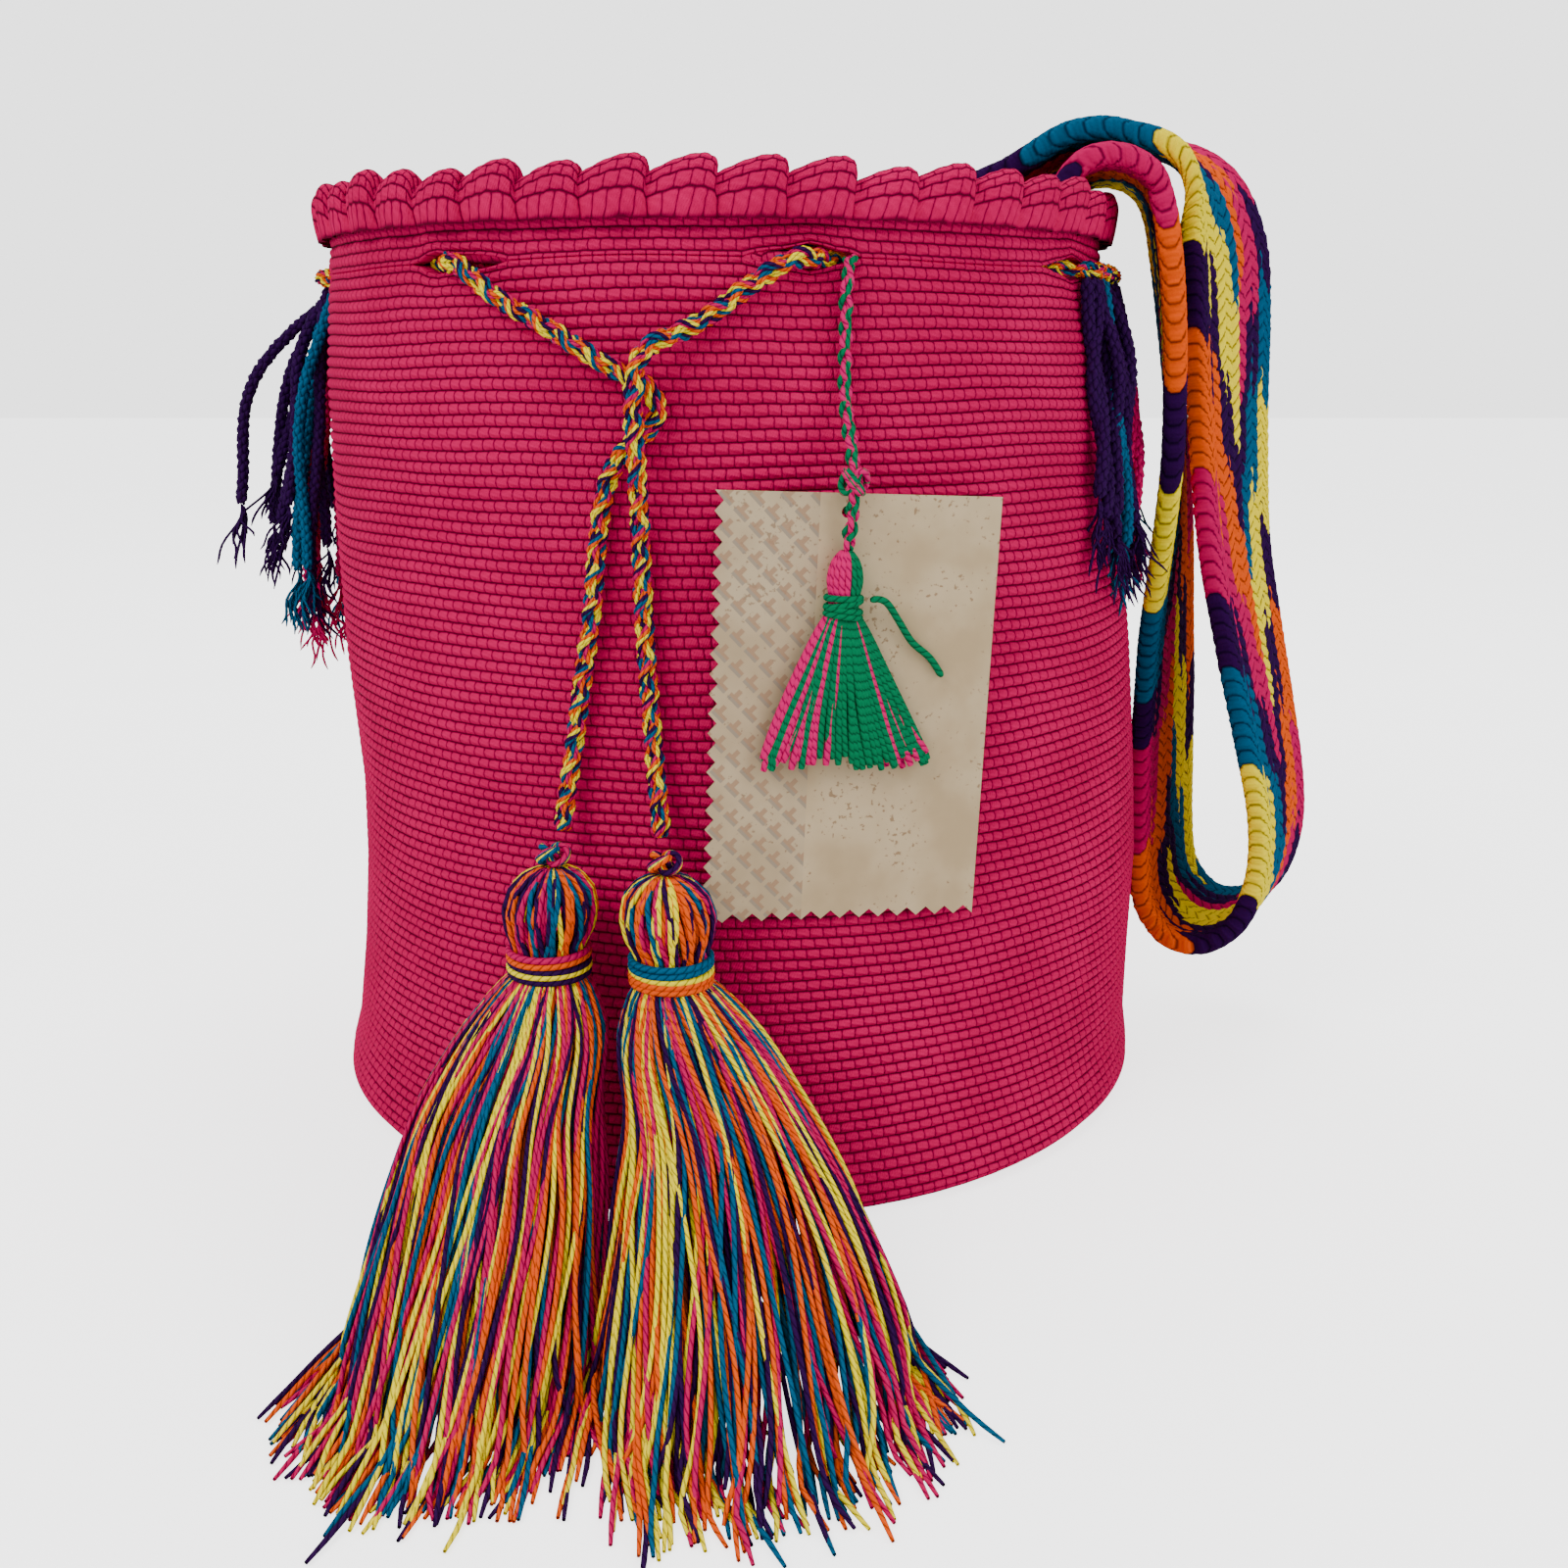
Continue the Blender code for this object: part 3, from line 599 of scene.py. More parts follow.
RIGHT_END = [
    (0.0302, 0.2495, -0.0073),
    (0.0265, 0.2495, -0.0062),
    (0.0240, 0.2495, -0.0035),
    (0.0222, 0.2496, 0.0004),
    (0.0196, 0.2496, 0.0035),
    (0.0154, 0.2484, 0.0040),
    (0.0105, 0.2453, 0.0035),
    (0.0050, 0.2417, 0.0031),
    (-0.0025, 0.2362, 0.0031),
    (-0.0100, 0.2322, 0.0040),
    (-0.0155, 0.2300, 0.0070),
    (-0.0192, 0.2262, 0.0092),
    (-0.0205, 0.2205, 0.0095),
    (-0.0208, 0.2130, 0.0094),
    (-0.0205, 0.2060, 0.0092),
    (-0.0203, 0.1990, 0.0080),
    (-0.0202, 0.1910, 0.0048),
    (-0.0200, 0.1800, 0.0034),
    (-0.0196, 0.1650, 0.0034),
    (-0.0188, 0.1486, 0.0036),
    (-0.0178, 0.1330, 0.0040),
    (-0.0168, 0.1200, 0.0052),
    (-0.0158, 0.1094, 0.0075),
]
CROSSING = 4.5  # degrees to each side of where the cord goes through the wall
laced_turn = np.linspace(-40.9, -340.1, 90)
passed = np.ones(90)
for number in range(1, SLITS - 1):
    t = np.clip((SLIT_FRONT - number * 45 + CROSSING - laced_turn) / (2 * CROSSING), 0, 1)
    passed += (-1 if number % 2 else 1) * t * t * (3 - 2 * t)
outside, hidden = CORD / 2 + 0.0007, -WALL - CORD / 2 - 0.0008
laced_route = round_wall(laced_turn, np.full(90, SLIT_Z), outside + (hidden - outside) * passed)
lines, picks, _ = plaited(laced_route, CORD, PLAIT, STRANDS, step=0.0015)
drawstring_laced = place("drawstring_laced_yarns", spun("laced", lines, CORD_YARN, picks, sides=4), *YARNS)
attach(drawstring_laced, "root")
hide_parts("drawstring_laced")

TASSEL_TOPS = {"left": (-0.0430, -0.1345), "right": (-0.0145, -0.1415)}
cords = {}
for side, end in (("left", LEFT_END), ("right", RIGHT_END)):
    route = [before_wall(*point) for point in end]
    lines, picks, line = plaited(route, CORD, PLAIT, STRANDS if side == "left" else STRANDS[::-1])
    cord = place(f"cord_{side}", spun(f"cord_{side}", lines, CORD_YARN, picks, sides=5), *YARNS)
    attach(cord, "root")
    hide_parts(f"drawstring_end_{side}")
    cords[side] = (cord, route, line)

    # The cord ends in a small tight knot on the tassel's top.
    top_x, top_y = TASSEL_TOPS[side]
    t = np.linspace(0, 2 * np.pi, 90)
    strands, picks = [], []
    for k in range(5):
        reach = 0.0025 + 0.0014 * np.cos(3 * t + k * 0.5)
        strands.append(
            np.stack(
                [
                    top_x + reach * np.cos(2 * t + k * 0.22),
                    top_y + reach * np.sin(2 * t + k * 0.22),
                    0.1062 + 0.0019 * np.sin(3 * t + k * 0.5),
                ],
                -1,
            )
        )
        picks.append((TEA, YEL, PUR, TEA, PIN)[k] if side == "left" else (ORA, YEL, TEA, PIN, PUR)[k])
    end_knot = place(f"cord_knot_{side}", spun(f"cord_knot_{side}", strands, 0.00075, picks), *YARNS)
    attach(end_knot, "root")
    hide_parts(f"end_knot_{side}")


# ---- tassels ----
# Cotton yarn folded over the end of each cord: a round head of lengthwise yarns, a neck wound with
# bright yarn, and a full skirt of loose yarns that come down and lie out over the table.
SKIRTS = {
    "left": [
        (0.0765, -0.0447, -0.1356, 0.0080, 0.0080),
        (0.0715, -0.0458, -0.1380, 0.0125, 0.0110),
        (0.0620, -0.0482, -0.1445, 0.0185, 0.0140),
        (0.0480, -0.0530, -0.1545, 0.0225, 0.0190),
        (0.0340, -0.0545, -0.1655, 0.0255, 0.0250),
        (0.0200, -0.0560, -0.1770, 0.0275, 0.0320),
        (0.0090, -0.0565, -0.1870, 0.0288, 0.0400),
        (0.0010, -0.0570, -0.1920, 0.0292, 0.0440),
    ],
    "right": [
        (0.0765, -0.0132, -0.1422, 0.0080, 0.0080),
        (0.0715, -0.0115, -0.1440, 0.0125, 0.0110),
        (0.0620, -0.0075, -0.1500, 0.0185, 0.0150),
        (0.0480, -0.0010, -0.1600, 0.0226, 0.0200),
        (0.0340, 0.0030, -0.1710, 0.0280, 0.0265),
        (0.0200, 0.0060, -0.1830, 0.0325, 0.0345),
        (0.0090, 0.0075, -0.1925, 0.0358, 0.0430),
        (0.0010, 0.0080, -0.1980, 0.0368, 0.0480),
    ],
}
HEADS = {
    "left": [
        (0.1030, -0.0430, -0.1345, 0.0022),
        (0.1010, -0.0432, -0.1346, 0.0068),
        (0.0975, -0.0436, -0.1348, 0.0100),
        (0.0925, -0.0440, -0.1350, 0.0114),
        (0.0875, -0.0443, -0.1352, 0.0106),
        (0.0835, -0.0447, -0.1356, 0.0088),
        (0.0800, -0.0447, -0.1356, 0.0083),
    ],
    "right": [
        (0.1030, -0.0145, -0.1415, 0.0022),
        (0.1010, -0.0144, -0.1415, 0.0068),
        (0.0975, -0.0142, -0.1416, 0.0100),
        (0.0925, -0.0138, -0.1418, 0.0114),
        (0.0875, -0.0136, -0.1420, 0.0106),
        (0.0835, -0.0132, -0.1422, 0.0088),
        (0.0800, -0.0132, -0.1422, 0.0083),
    ],
}
SKIRT_YARNS = 500
SKIRT_LENGTH = 0.128
SKIRT_TAIL = 0.034  # the most of a yarn that lies out on the table
SKIRT_YARN = 0.00064  # radius
HEAD_YARN = 0.00072  # radius
LOWEST = 0.0009  # a yarn's middle above the table
STEPS = 26


def skirt_yarn(rings, chance):
    """One yarn of a skirt: down over the ones below it, then out along the table to its cut end."""
    z, cx, cy, rx, ry = (np.array(column) for column in zip(*rings))
    turn = chance.uniform(0, 2 * math.pi)
    depth = 1.0 - 0.42 * chance.random() ** 2.2
    steps = np.linspace(0, 1, len(z))
    swing = chance.gauss(0, 0.16)
    a = turn + swing * steps**1.3 + 0.10 * np.sin(steps * chance.uniform(3, 8) + chance.uniform(0, 6))
    wave = 0.0016 * steps * np.sin(steps * chance.uniform(4, 10) + chance.uniform(0, 6))
    x = cx + (rx * depth + wave) * np.cos(a)
    y = cy + (ry * depth + wave) * np.sin(a)
    rest = LOWEST + 0.0045 * chance.random() * depth
    path = np.stack([x, y, np.maximum(z, rest)], -1)
    mean = math.atan2(cx[-1] - cx[0], -(cy[-1] - cy[0]))
    lateral = (x[-1] - cx[-1]) / rx[-1]
    way = mean * 0.8 + math.radians(4) * lateral + chance.gauss(0, 0.10)
    drop = distances(path)[-1]
    length = min(SKIRT_LENGTH, drop + SKIRT_TAIL) + chance.gauss(0, 0.0050)
    left = length - drop
    here = path[-1]
    tail = []
    pieces = max(2, int(abs(left) / 0.012) + 1)
    for k in range(pieces):
        if left <= 0:
            break
        way += chance.gauss(0, 0.10)
        here = here + np.array([math.sin(way), -math.cos(way), 0]) * left / pieces
        tail.append((here[0], here[1], max(LOWEST, rest * (1 - (k + 1) / pieces * 0.8))))
    path = np.concatenate([path, tail]) if tail else path
    fine = smooth_route(path, 0.003)
    run = np.linspace(0, len(fine) - 1, STEPS)
    if left < 0:
        run = run * (length / (length - left))
    return points_at(fine, run)


MIX = [yarn for yarn in (YEL, ORA, PIN, TEA, PUR) for _ in range(3)]
WRAPS = {"left": (PIN, ORA, PUR, YEL, PUR), "right": (TEA, TEA, YEL, ORA, ORA)}
for side in ("left", "right"):
    chance = random.Random(31 if side == "left" else 57)
    lines = [skirt_yarn(SKIRTS[side], chance) for _ in range(SKIRT_YARNS)]
    for line in lines:
        line[:, 2] = np.maximum(line[:, 2], LOWEST)
    picks = [chance.choice(MIX) for _ in lines]
    skirt_mesh = spun(f"skirt_{side}", lines, SKIRT_YARN, picks, sides=5, twist=0.0030, ends=0.7)
    skirt = place(f"skirt_{side}", skirt_mesh, *YARNS)
    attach(skirt, "root")
    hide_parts(f"tassel_{side}")

    z, cx, cy, r = (np.array(column) for column in zip(*HEADS[side]))
    level = np.linspace(0, len(z) - 1, 22)
    z, cx, cy, r = (np.interp(level, np.arange(len(v)), v) for v in (z, cx, cy, r))
    lines, picks = [], []
    for layer, count in ((0.0, 58), (-0.0011, 40)):
        for k in range(count):
            a = 2 * np.pi * (k + layer * 500) / count + 0.16 * np.sin(level * 0.5 + k * 1.7)
            reach = r + layer + 0.0002 * math.sin(k * 7.3)
            lines.append(np.stack([cx + reach * np.cos(a), cy + reach * np.sin(a), z], -1))
            picks.append(chance.choice(MIX))
    head = place(f"head_{side}", spun(f"head_{side}", lines, HEAD_YARN, picks, twist=0.0030), *YARNS)
    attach(head, "root")

    neck_x, neck_y = HEADS[side][-1][1:3]
    t = np.linspace(0, 2 * np.pi, 49)
    lines = []
    for k in range(5):
        tilt = 0.0004 * math.sin(k * 2.2)
        reach = 0.0100 + 0.0005 * math.sin(k * 3.1)
        lines.append(
            np.stack(
                [
                    neck_x + reach * np.cos(t),
                    neck_y + reach * np.sin(t),
                    0.0818 - 0.00150 * k + tilt * np.sin(t + k),
                ],
                -1,
            )
        )
    wraps_mesh = spun(f"neck_wraps_{side}", lines, 0.00088, WRAPS[side], sides=8, ends=1.0)
    wraps = place(f"neck_wraps_{side}", wraps_mesh, *YARNS)
    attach(wraps, "root")
    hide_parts(f"tassel_binding_{side}")


# ---- shoulder strap ----
# A thick band plaited in five colours of cotton yarn. Slanting plump stitches run in columns, the
# colours meet in long points down its middle, and each edge is a rounded plaited border.
STRAP_WIDTH = 0.062
STRAP_THICK = 0.005
SEWN_IN = WALL + 0.0048 + STRAP_THICK / 2
STRAP_ROUTE = [
    (*round_wall(-100.0, 0.2330, -SEWN_IN), 10),
    (*round_wall(-100.0, 0.2480, -SEWN_IN), 10),
    (*round_wall(-100.0, 0.2620, -SEWN_IN - 0.001), 10),
    (-0.0970, 0.0160, 0.2700, 9),
    (-0.0800, 0.0150, 0.2715, 8),
    (-0.0450, 0.0120, 0.2670, 6),
    (0.0000, 0.0080, 0.2640, 6),
    (0.0450, 0.0040, 0.2655, 8),
    (0.0800, 0.0010, 0.2765, 12),
    (0.1020, 0.0000, 0.2870, 17),
    (0.1180, 0.0000, 0.2885, 22),
    (0.1340, 0.0000, 0.2850, 27),
    (0.1450, 0.0000, 0.2750, 32),
    (0.1510, 0.0000, 0.2580, 35),
    (0.1535, 0.0000, 0.2350, 35),
    (0.1560, 0.0000, 0.2050, 33),
    (0.1600, -0.0010, 0.1700, 31),
    (0.1665, -0.0020, 0.1400, 30),
    (0.1730, -0.0030, 0.1130, 29),
    (0.1785, -0.0040, 0.0880, 28),
    (0.1800, -0.0040, 0.0680, 28),
    (0.1765, -0.0020, 0.0510, 28),
    (0.1690, 0.0020, 0.0415, 28),
    (0.1610, 0.0065, 0.0390, 28),
    (0.1540, 0.0110, 0.0420, 28),
    (0.1485, 0.0145, 0.0510, 28),
    (0.1465, 0.0160, 0.0660, 28),
    (0.1455, 0.0165, 0.0880, 28),
    (0.1445, 0.0160, 0.1150, 27),
    (0.1425, 0.0120, 0.1450, 24),
    (0.1400, 0.0030, 0.1750, 19),
    (0.1365, -0.0070, 0.2050, 14),
    (0.1320, -0.0140, 0.2350, 11),
    (0.1285, -0.0170, 0.2550, 10),
    (0.1255, -0.0180, 0.2680, 10),
    (0.1215, -0.0180, 0.2755, 10),
    (0.1140, -0.0180, 0.2795, 10),
    (0.1060, -0.0180, 0.2795, 10),
    (0.0995, -0.0180, 0.2755, 10),
    (*round_wall(80.0, 0.2660, -SEWN_IN - 0.0030), 10),
    (*round_wall(80.0, 0.2580, -SEWN_IN - 0.0010), 10),
    (*round_wall(80.0, 0.2480, -SEWN_IN), 10),
    (*round_wall(80.0, 0.2330, -SEWN_IN), 10),
]
STRAP_STEP = 0.0013
BORDER = 0.0070  # width of the plaited border along each edge
COLUMN = 0.0060  # width of one column of plump stitches
STITCH = 0.0043  # length of one plump stitch
SLANT = 0.55  # of the plump stitches, turned about from column to column
EDGE_MIDDLE = 0.0033  # from the edge to the points of the border's herringbone
EDGE_STITCH = 0.0046
EDGE_SLANT = 1.8


def strap_surface():
    """The band as rings round its section, square to its line, with its stitches raised."""
    route = np.array(STRAP_ROUTE)
    line = smooth_route(route[:, :3], STRAP_STEP)
    knots = distances(route[:, :3])
    share = np.linspace(0, knots[-1], len(line))
    turn = np.radians(np.interp(share, knots, route[:, 3]))
    ahead = unit(np.gradient(line, axis=0))
    across = np.stack([np.sin(turn), np.cos(turn), 0 * turn], -1)
    across = unit(across - (across * ahead).sum(-1, keepdims=True) * ahead)
    face = np.cross(ahead, across)
    half = STRAP_WIDTH / 2
    flat = np.linspace(-half + 0.0006, half - 0.0006, 54)
    roll = np.radians(np.linspace(35, -35, 3))
    a = np.concatenate([flat, half + 0.0003 * np.cos(roll), flat[::-1], -half - 0.0003 * np.cos(roll)])
    b = np.concatenate([np.ones(54), np.sin(roll), -np.ones(54), -np.sin(roll)])
    run = (np.arange(len(line)) * STRAP_STEP)[:, None]
    from_edge = half - np.abs(a)
    border = np.clip((BORDER - from_edge) / 0.0008, 0, 1)
    rolled = np.sqrt(np.clip(1 - ((from_edge - BORDER / 2) / (BORDER / 2)) ** 2, 0.04, 1))
    thick = STRAP_THICK / 2 * (0.72 + border * (0.40 * rolled - 0.02))
    column = np.floor(a / COLUMN + 0.5)
    in_column = np.abs(a / COLUMN + 0.5 - column - 0.5) * 2
    slant = np.where(column % 2 == 0, SLANT, -SLANT)
    stitch = np.abs(np.sin(np.pi * (run + slant * a) / STITCH))
    plump = 0.0011 * stitch**0.6 * np.clip(1.15 - in_column**3, 0.1, 1)
    leg = np.abs(from_edge - EDGE_MIDDLE)
    edge_stitch = 0.0008 * np.abs(np.sin(np.pi * (run + EDGE_SLANT * leg) / EDGE_STITCH)) ** 0.6
    lift = thick + (1 - border) * plump + border * edge_stitch
    spread = 0.0007 * np.sin(2 * np.pi * run / STITCH) * np.sign(a) * (from_edge < 0.001)
    points = (
        line[:, None]
        + across[:, None] * (a + spread)[..., None]
        + face[:, None] * (b * lift)[..., None]
    )
    return points[:, ::-1], a[::-1] * 1000, run[:, 0] * 1000


strap_points, strap_across, strap_run = strap_surface()
strap_mesh = grid("strap", strap_points, np.append(strap_across, strap_across[0]), strap_run)

strap_finish, shader, draw = finish("plaited_band", 0.92)
across, down = weave_place(draw)
half_mm = STRAP_WIDTH * 500
fuzz = draw.node("TexNoise", {}, {"Vector": draw.node("TexCoord", out=3), "Scale": 1300.0, "Detail": 3.0})
bent = draw.node("TexNoise", {}, {"Vector": draw.node("TexCoord", out=3), "Scale": 60.0, "Detail": 1.0})
column = (across / (COLUMN * 1000) + 0.5).sum("FLOOR")
odd = (column / 2).sum("FRACT").sum("GREATER_THAN", 0.25)
slanted = across * (SLANT - odd * (2 * SLANT))
stitch_mm = STITCH * 1000
number = ((down + slanted) / stitch_mm).sum("FLOOR")
from_edge = half_mm - across.sum("ABSOLUTE")
in_border = from_edge.sum("LESS_THAN", BORDER * 1000)
far = across.sum("GREATER_THAN", 3.0)
PERIOD = 205.0
START = 268.0
SLOPE = 2.5
FAR_SHIFT = 92.0  # the far half of the band is that much later in its colours
edge_mm = EDGE_STITCH * 1000
face_place = number * stitch_mm - (from_edge - BORDER * 1000) * SLOPE - far * FAR_SHIFT + (bent - 0.5) * 12.0
leg = (from_edge - EDGE_MIDDLE * 1000).sum("ABSOLUTE")
edge_place = ((down + leg * EDGE_SLANT) / edge_mm).sum("FLOOR") * edge_mm - far * FAR_SHIFT
placed = in_border * edge_place + (1 - in_border) * face_place
cycle = ((placed - START) / PERIOD).sum("FRACT")
bands = cycle.node(
    "ValToRGB",
    {
        "steps": "CONSTANT",
        "stops": [
            (0.00, YELLOW),
            (0.21, PURPLE),
            (0.34, ORANGE),
            (0.55, PINK),
            (0.72, PURPLE),
            (0.83, TEAL),
        ],
    },
    {0: cycle},
)
face_stitch = (((down + slanted) / stitch_mm) * math.pi).sum("SINE").sum("ABSOLUTE")
edge_stitch = (((down + leg * EDGE_SLANT) / edge_mm) * math.pi).sum("SINE").sum("ABSOLUTE")
stitch = in_border * edge_stitch + (1 - in_border) * face_stitch
ply = (((across * 0.9 + down * 1.3) * 1.1) * math.pi).sum("SINE") * 0.5 + 0.5
# Painted shade: the band's colours are darkened in the gaps between the stitches and left lighter on their
# raised crowns.
gap_shade_blend = {"data_type": "RGBA", "blend_type": "MULTIPLY"}
gap_shaded_bands = bands.node("Mix", gap_shade_blend, {0: 1.0, 6: bands, 7: (0.25, 0.22, 0.28, 1)}, out=2)
put(shader, "Base Color", (stitch * 0.85 + ply * 0.1 + fuzz * 0.15).between(0.08, 0.62).mix(gap_shaded_bands, bands))
bump = {"Height": stitch * 0.5 + ply * 0.22 + fuzz * 0.3, "Distance": 0.0008, "Strength": 0.8}
put(shader, "Normal", draw.node("Bump", {}, bump))
strap = place("strap_band", strap_mesh, strap_finish)
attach(strap, "root")
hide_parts("shoulder_strap")


# ---- strap fringes ----
# At each side the strap's yarns come out through the wall under the edging and hang as twisted
# plied cords, mostly dark purple, each frayed at its cut end.
def hanging_cord(chance, start, way, length, lift):
    """A limp cord's line: out from the wall a little, then down, leaning the given way."""
    steps = np.linspace(0, 1, 44)
    out = lift * (1 - np.exp(-steps * 3.2)) + 0.0015 * np.sin(steps * 7 + chance.uniform(0, 6))
    drop = length * steps**1.08
    lean = way * steps**1.2 + 0.0020 * np.sin(steps * chance.uniform(5, 9) + chance.uniform(0, 6))
    a = math.radians(start)
    outward = np.array([math.sin(a), -math.cos(a), 0])
    beside = np.array([math.cos(a), math.sin(a), 0])
    base = round_wall(start, 0.2472, 0.0)
    z = np.maximum(base[2] - drop, 0.12)
    wall = radius_at(z) - radius_at(base[2])
    return (
        base
        + outward * (0.0016 + wall + out)[:, None]
        + beside * lean[:, None]
        + np.array([0, 0, 1]) * (z - base[2])[:, None]
    )


def fringe(side, cords, seed):
    """Plied cords and the wisps at their cut ends. Each cord in the list has a second one close to it."""
    chance = random.Random(seed)
    plies, picks, wisps, wisp_picks = [], [], [], []
    for number, (start, way, length, lift, color) in enumerate([*cords, *cords]):
        if number >= len(cords):
            start += chance.gauss(0, 1.6)
            length *= chance.uniform(0.86, 1.0)
            lift *= chance.uniform(0.55, 0.95)
        line = hanging_cord(chance, start, way, length, lift)
        _, across, other = frames(line[None])
        across, other = across[0], other[0]
        run = distances(line)
        for ply in range(3):
            a = 2 * np.pi * (run / 0.0085 + ply / 3)
            plies.append(line + 0.0011 * (across * np.cos(a)[:, None] + other * np.sin(a)[:, None]))
            picks.append(color)
        down = unit(line[-1] - line[-6])
        steps = np.linspace(0, 1, 10)[:, None]
        for _ in range(9):
            spread = np.array([chance.gauss(0, 0.0032), chance.gauss(0, 0.0032), 0])
            bend = 0.0009 * np.sin(steps * chance.uniform(4, 9)) * np.array([1.0, 0.6, 0])
            reach = down * (chance.uniform(0.010, 0.021) * steps)
            wisps.append(line[-1] + reach + spread * steps**1.4 + bend)
            wisp_picks.append(color)
    name = f"fringe_{side}"
    cord_piece = place(name, spun(name, plies, 0.00108, picks, sides=5), *YARNS)
    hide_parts(f"strap_fringe_{side}")
    wisp_piece = place(f"{name}_ends", spun(f"{name}_ends", wisps, 0.00045, wisp_picks, sides=4), *YARNS)
    for piece in (cord_piece, wisp_piece):
        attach(piece, "root")


# Each cord: degrees round the wall, lean along the wall, length, how far out it hangs, colour.
fringe(
    "left",
    [
        (-93, 0.006, 0.066, 0.034, PUR),
        (-97, 0.002, 0.074, 0.028, PUR),
        (-90, 0.003, 0.072, 0.016, PUR),
        (-102, -0.003, 0.078, 0.024, PUR),
        (-88, 0.004, 0.086, 0.010, TEA),
        (-95, 0.000, 0.088, 0.014, PUR),
        (-99, 0.004, 0.096, 0.018, PIN),
        (-104, -0.002, 0.098, 0.012, TEA),
        (-91, 0.001, 0.101, 0.009, PIN),
        (-107, -0.003, 0.084, 0.015, PUR),
        (-86, 0.002, 0.090, 0.005, PUR),
        (-101, 0.001, 0.103, 0.007, PIN),
        (-110, -0.002, 0.080, 0.010, ORA),
    ],
    5,
)
fringe(
    "right",
    [
        (60, -0.003, 0.064, 0.004, PUR),
        (63, -0.001, 0.070, 0.006, PUR),
        (66, 0.001, 0.074, 0.005, TEA),
        (69, 0.002, 0.068, 0.007, PUR),
        (72, 0.000, 0.072, 0.005, PUR),
        (75, 0.002, 0.066, 0.006, PIN),
        (78, 0.001, 0.074, 0.004, PUR),
        (81, 0.002, 0.070, 0.005, TEA),
    ],
    8,
)


# ---- hang tag ----
# A stiff cream card with brown flecks and a faint geometric border down one side, cut with a
# zigzag along two edges, hanging by a small yarn loop behind its cord.
CARD_TURN, CARD_ROLL, CARD_OUT, CARD_THICK = 14.0, -2.5, 0.1267, 0.0006
CARD_WIDTH, CARD_HEIGHT = 0.073, 0.109
facing = Vector((math.sin(math.radians(CARD_TURN)), -math.cos(math.radians(CARD_TURN)), 0))
rightward = Vector((-facing.y, facing.x, 0))
card_middle = facing * (CARD_OUT + CARD_THICK / 2) + Vector((0.0010, 0, 0.1400))
card_frame = Matrix.LocRotScale(
    card_middle,
    Matrix((rightward, (0, 0, 1), facing)).transposed().to_quaternion()
    @ Matrix.Rotation(math.radians(CARD_ROLL), 3, "Z").to_quaternion(),
    None,
)
card_finish, shader, draw = finish("flecked_card", 0.7)
shader.inputs["Specular IOR Level"].default_value = 0.3
on_object = draw.node("TexCoord", out=3)
from_middle = on_object.node(
    "VectorMath", {"operation": "SUBTRACT"}, {0: on_object, 1: tuple(card_middle)}
)


def card_coordinate(axis):
    """Distance from the card's middle along one of its own directions, in millimetres."""
    return from_middle.node(
        "VectorMath", {"operation": "DOT_PRODUCT"}, {0: from_middle, 1: tuple(axis * 1000)}, out=1
    )


card_x = card_coordinate(card_frame.col[0].xyz)
card_y = card_coordinate(card_frame.col[1].xyz)
flecks = draw.node("TexNoise", {}, {"Vector": on_object, "Scale": 750.0, "Detail": 2.0})
patches = draw.node("TexNoise", {}, {"Vector": on_object, "Scale": 60.0, "Detail": 3.0})
fleck = (flecks + (patches - 0.5) * 0.5).between(0.66, 0.74)
paper = patches.between(0.3, 0.7).mix((0.44, 0.32, 0.175), (0.55, 0.42, 0.25))
paper = (fleck * 0.7).mix(paper, (0.20, 0.10, 0.04))
key_u = ((card_x + card_y) / 7.6).sum("FRACT")
key_v = ((card_x - card_y) / 7.6).sum("FRACT")
bar = (key_u - 0.5).sum("ABSOLUTE").sum("LESS_THAN", 0.16) * key_v.sum("GREATER_THAN", 0.22)
hook = (key_v - 0.5).sum("ABSOLUTE").sum("LESS_THAN", 0.12) * key_u.sum("GREATER_THAN", 0.45)
motif = bar.sum("MAXIMUM", hook)
in_band = card_x.sum("LESS_THAN", -CARD_WIDTH * 500 + 26.0)
tint = key_u.sum("GREATER_THAN", 0.5).mix((0.25, 0.20, 0.15), (0.34, 0.18, 0.09))
printed = (motif * in_band * 0.8).mix(paper, tint)
printed = (in_band * 0.18).mix(printed, (0.30, 0.25, 0.19))
put(shader, "Base Color", printed)
put(shader, "Roughness", 0.62 + flecks * 0.15)
bump = {"Height": flecks + patches, "Distance": 0.00008, "Strength": 0.5}
put(shader, "Normal", draw.node("Bump", {}, bump))
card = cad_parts["hang_tag"]
card.data.materials.clear()
card.data.materials.append(card_finish)


# ---- tag cord and its small tassel ----
# Pink and green cotton yarn plaited into a thin cord from the right slit, knotted at the card's
# top edge, ending in a small tassel with a green binding whose loose end curls out to the right.
GREEN = (0.0, 0.16, 0.06)
TAG_PINK = (0.62, 0.0, 0.13)
TAG_YARNS = [yarn_finish("green_yarn", GREEN), yarn_finish("tag_pink_yarn", TAG_PINK)]
HOLE_X, HOLE_Y = -0.0035, CARD_HEIGHT / 2 - 0.0045
TOP = CARD_HEIGHT / 2
TAG_CORD = 0.003


def on_card(x, y, out):
    """A point in the card's own directions, that far in front of its middle plane."""
    return tuple(card_frame @ Vector((x, y, out)))


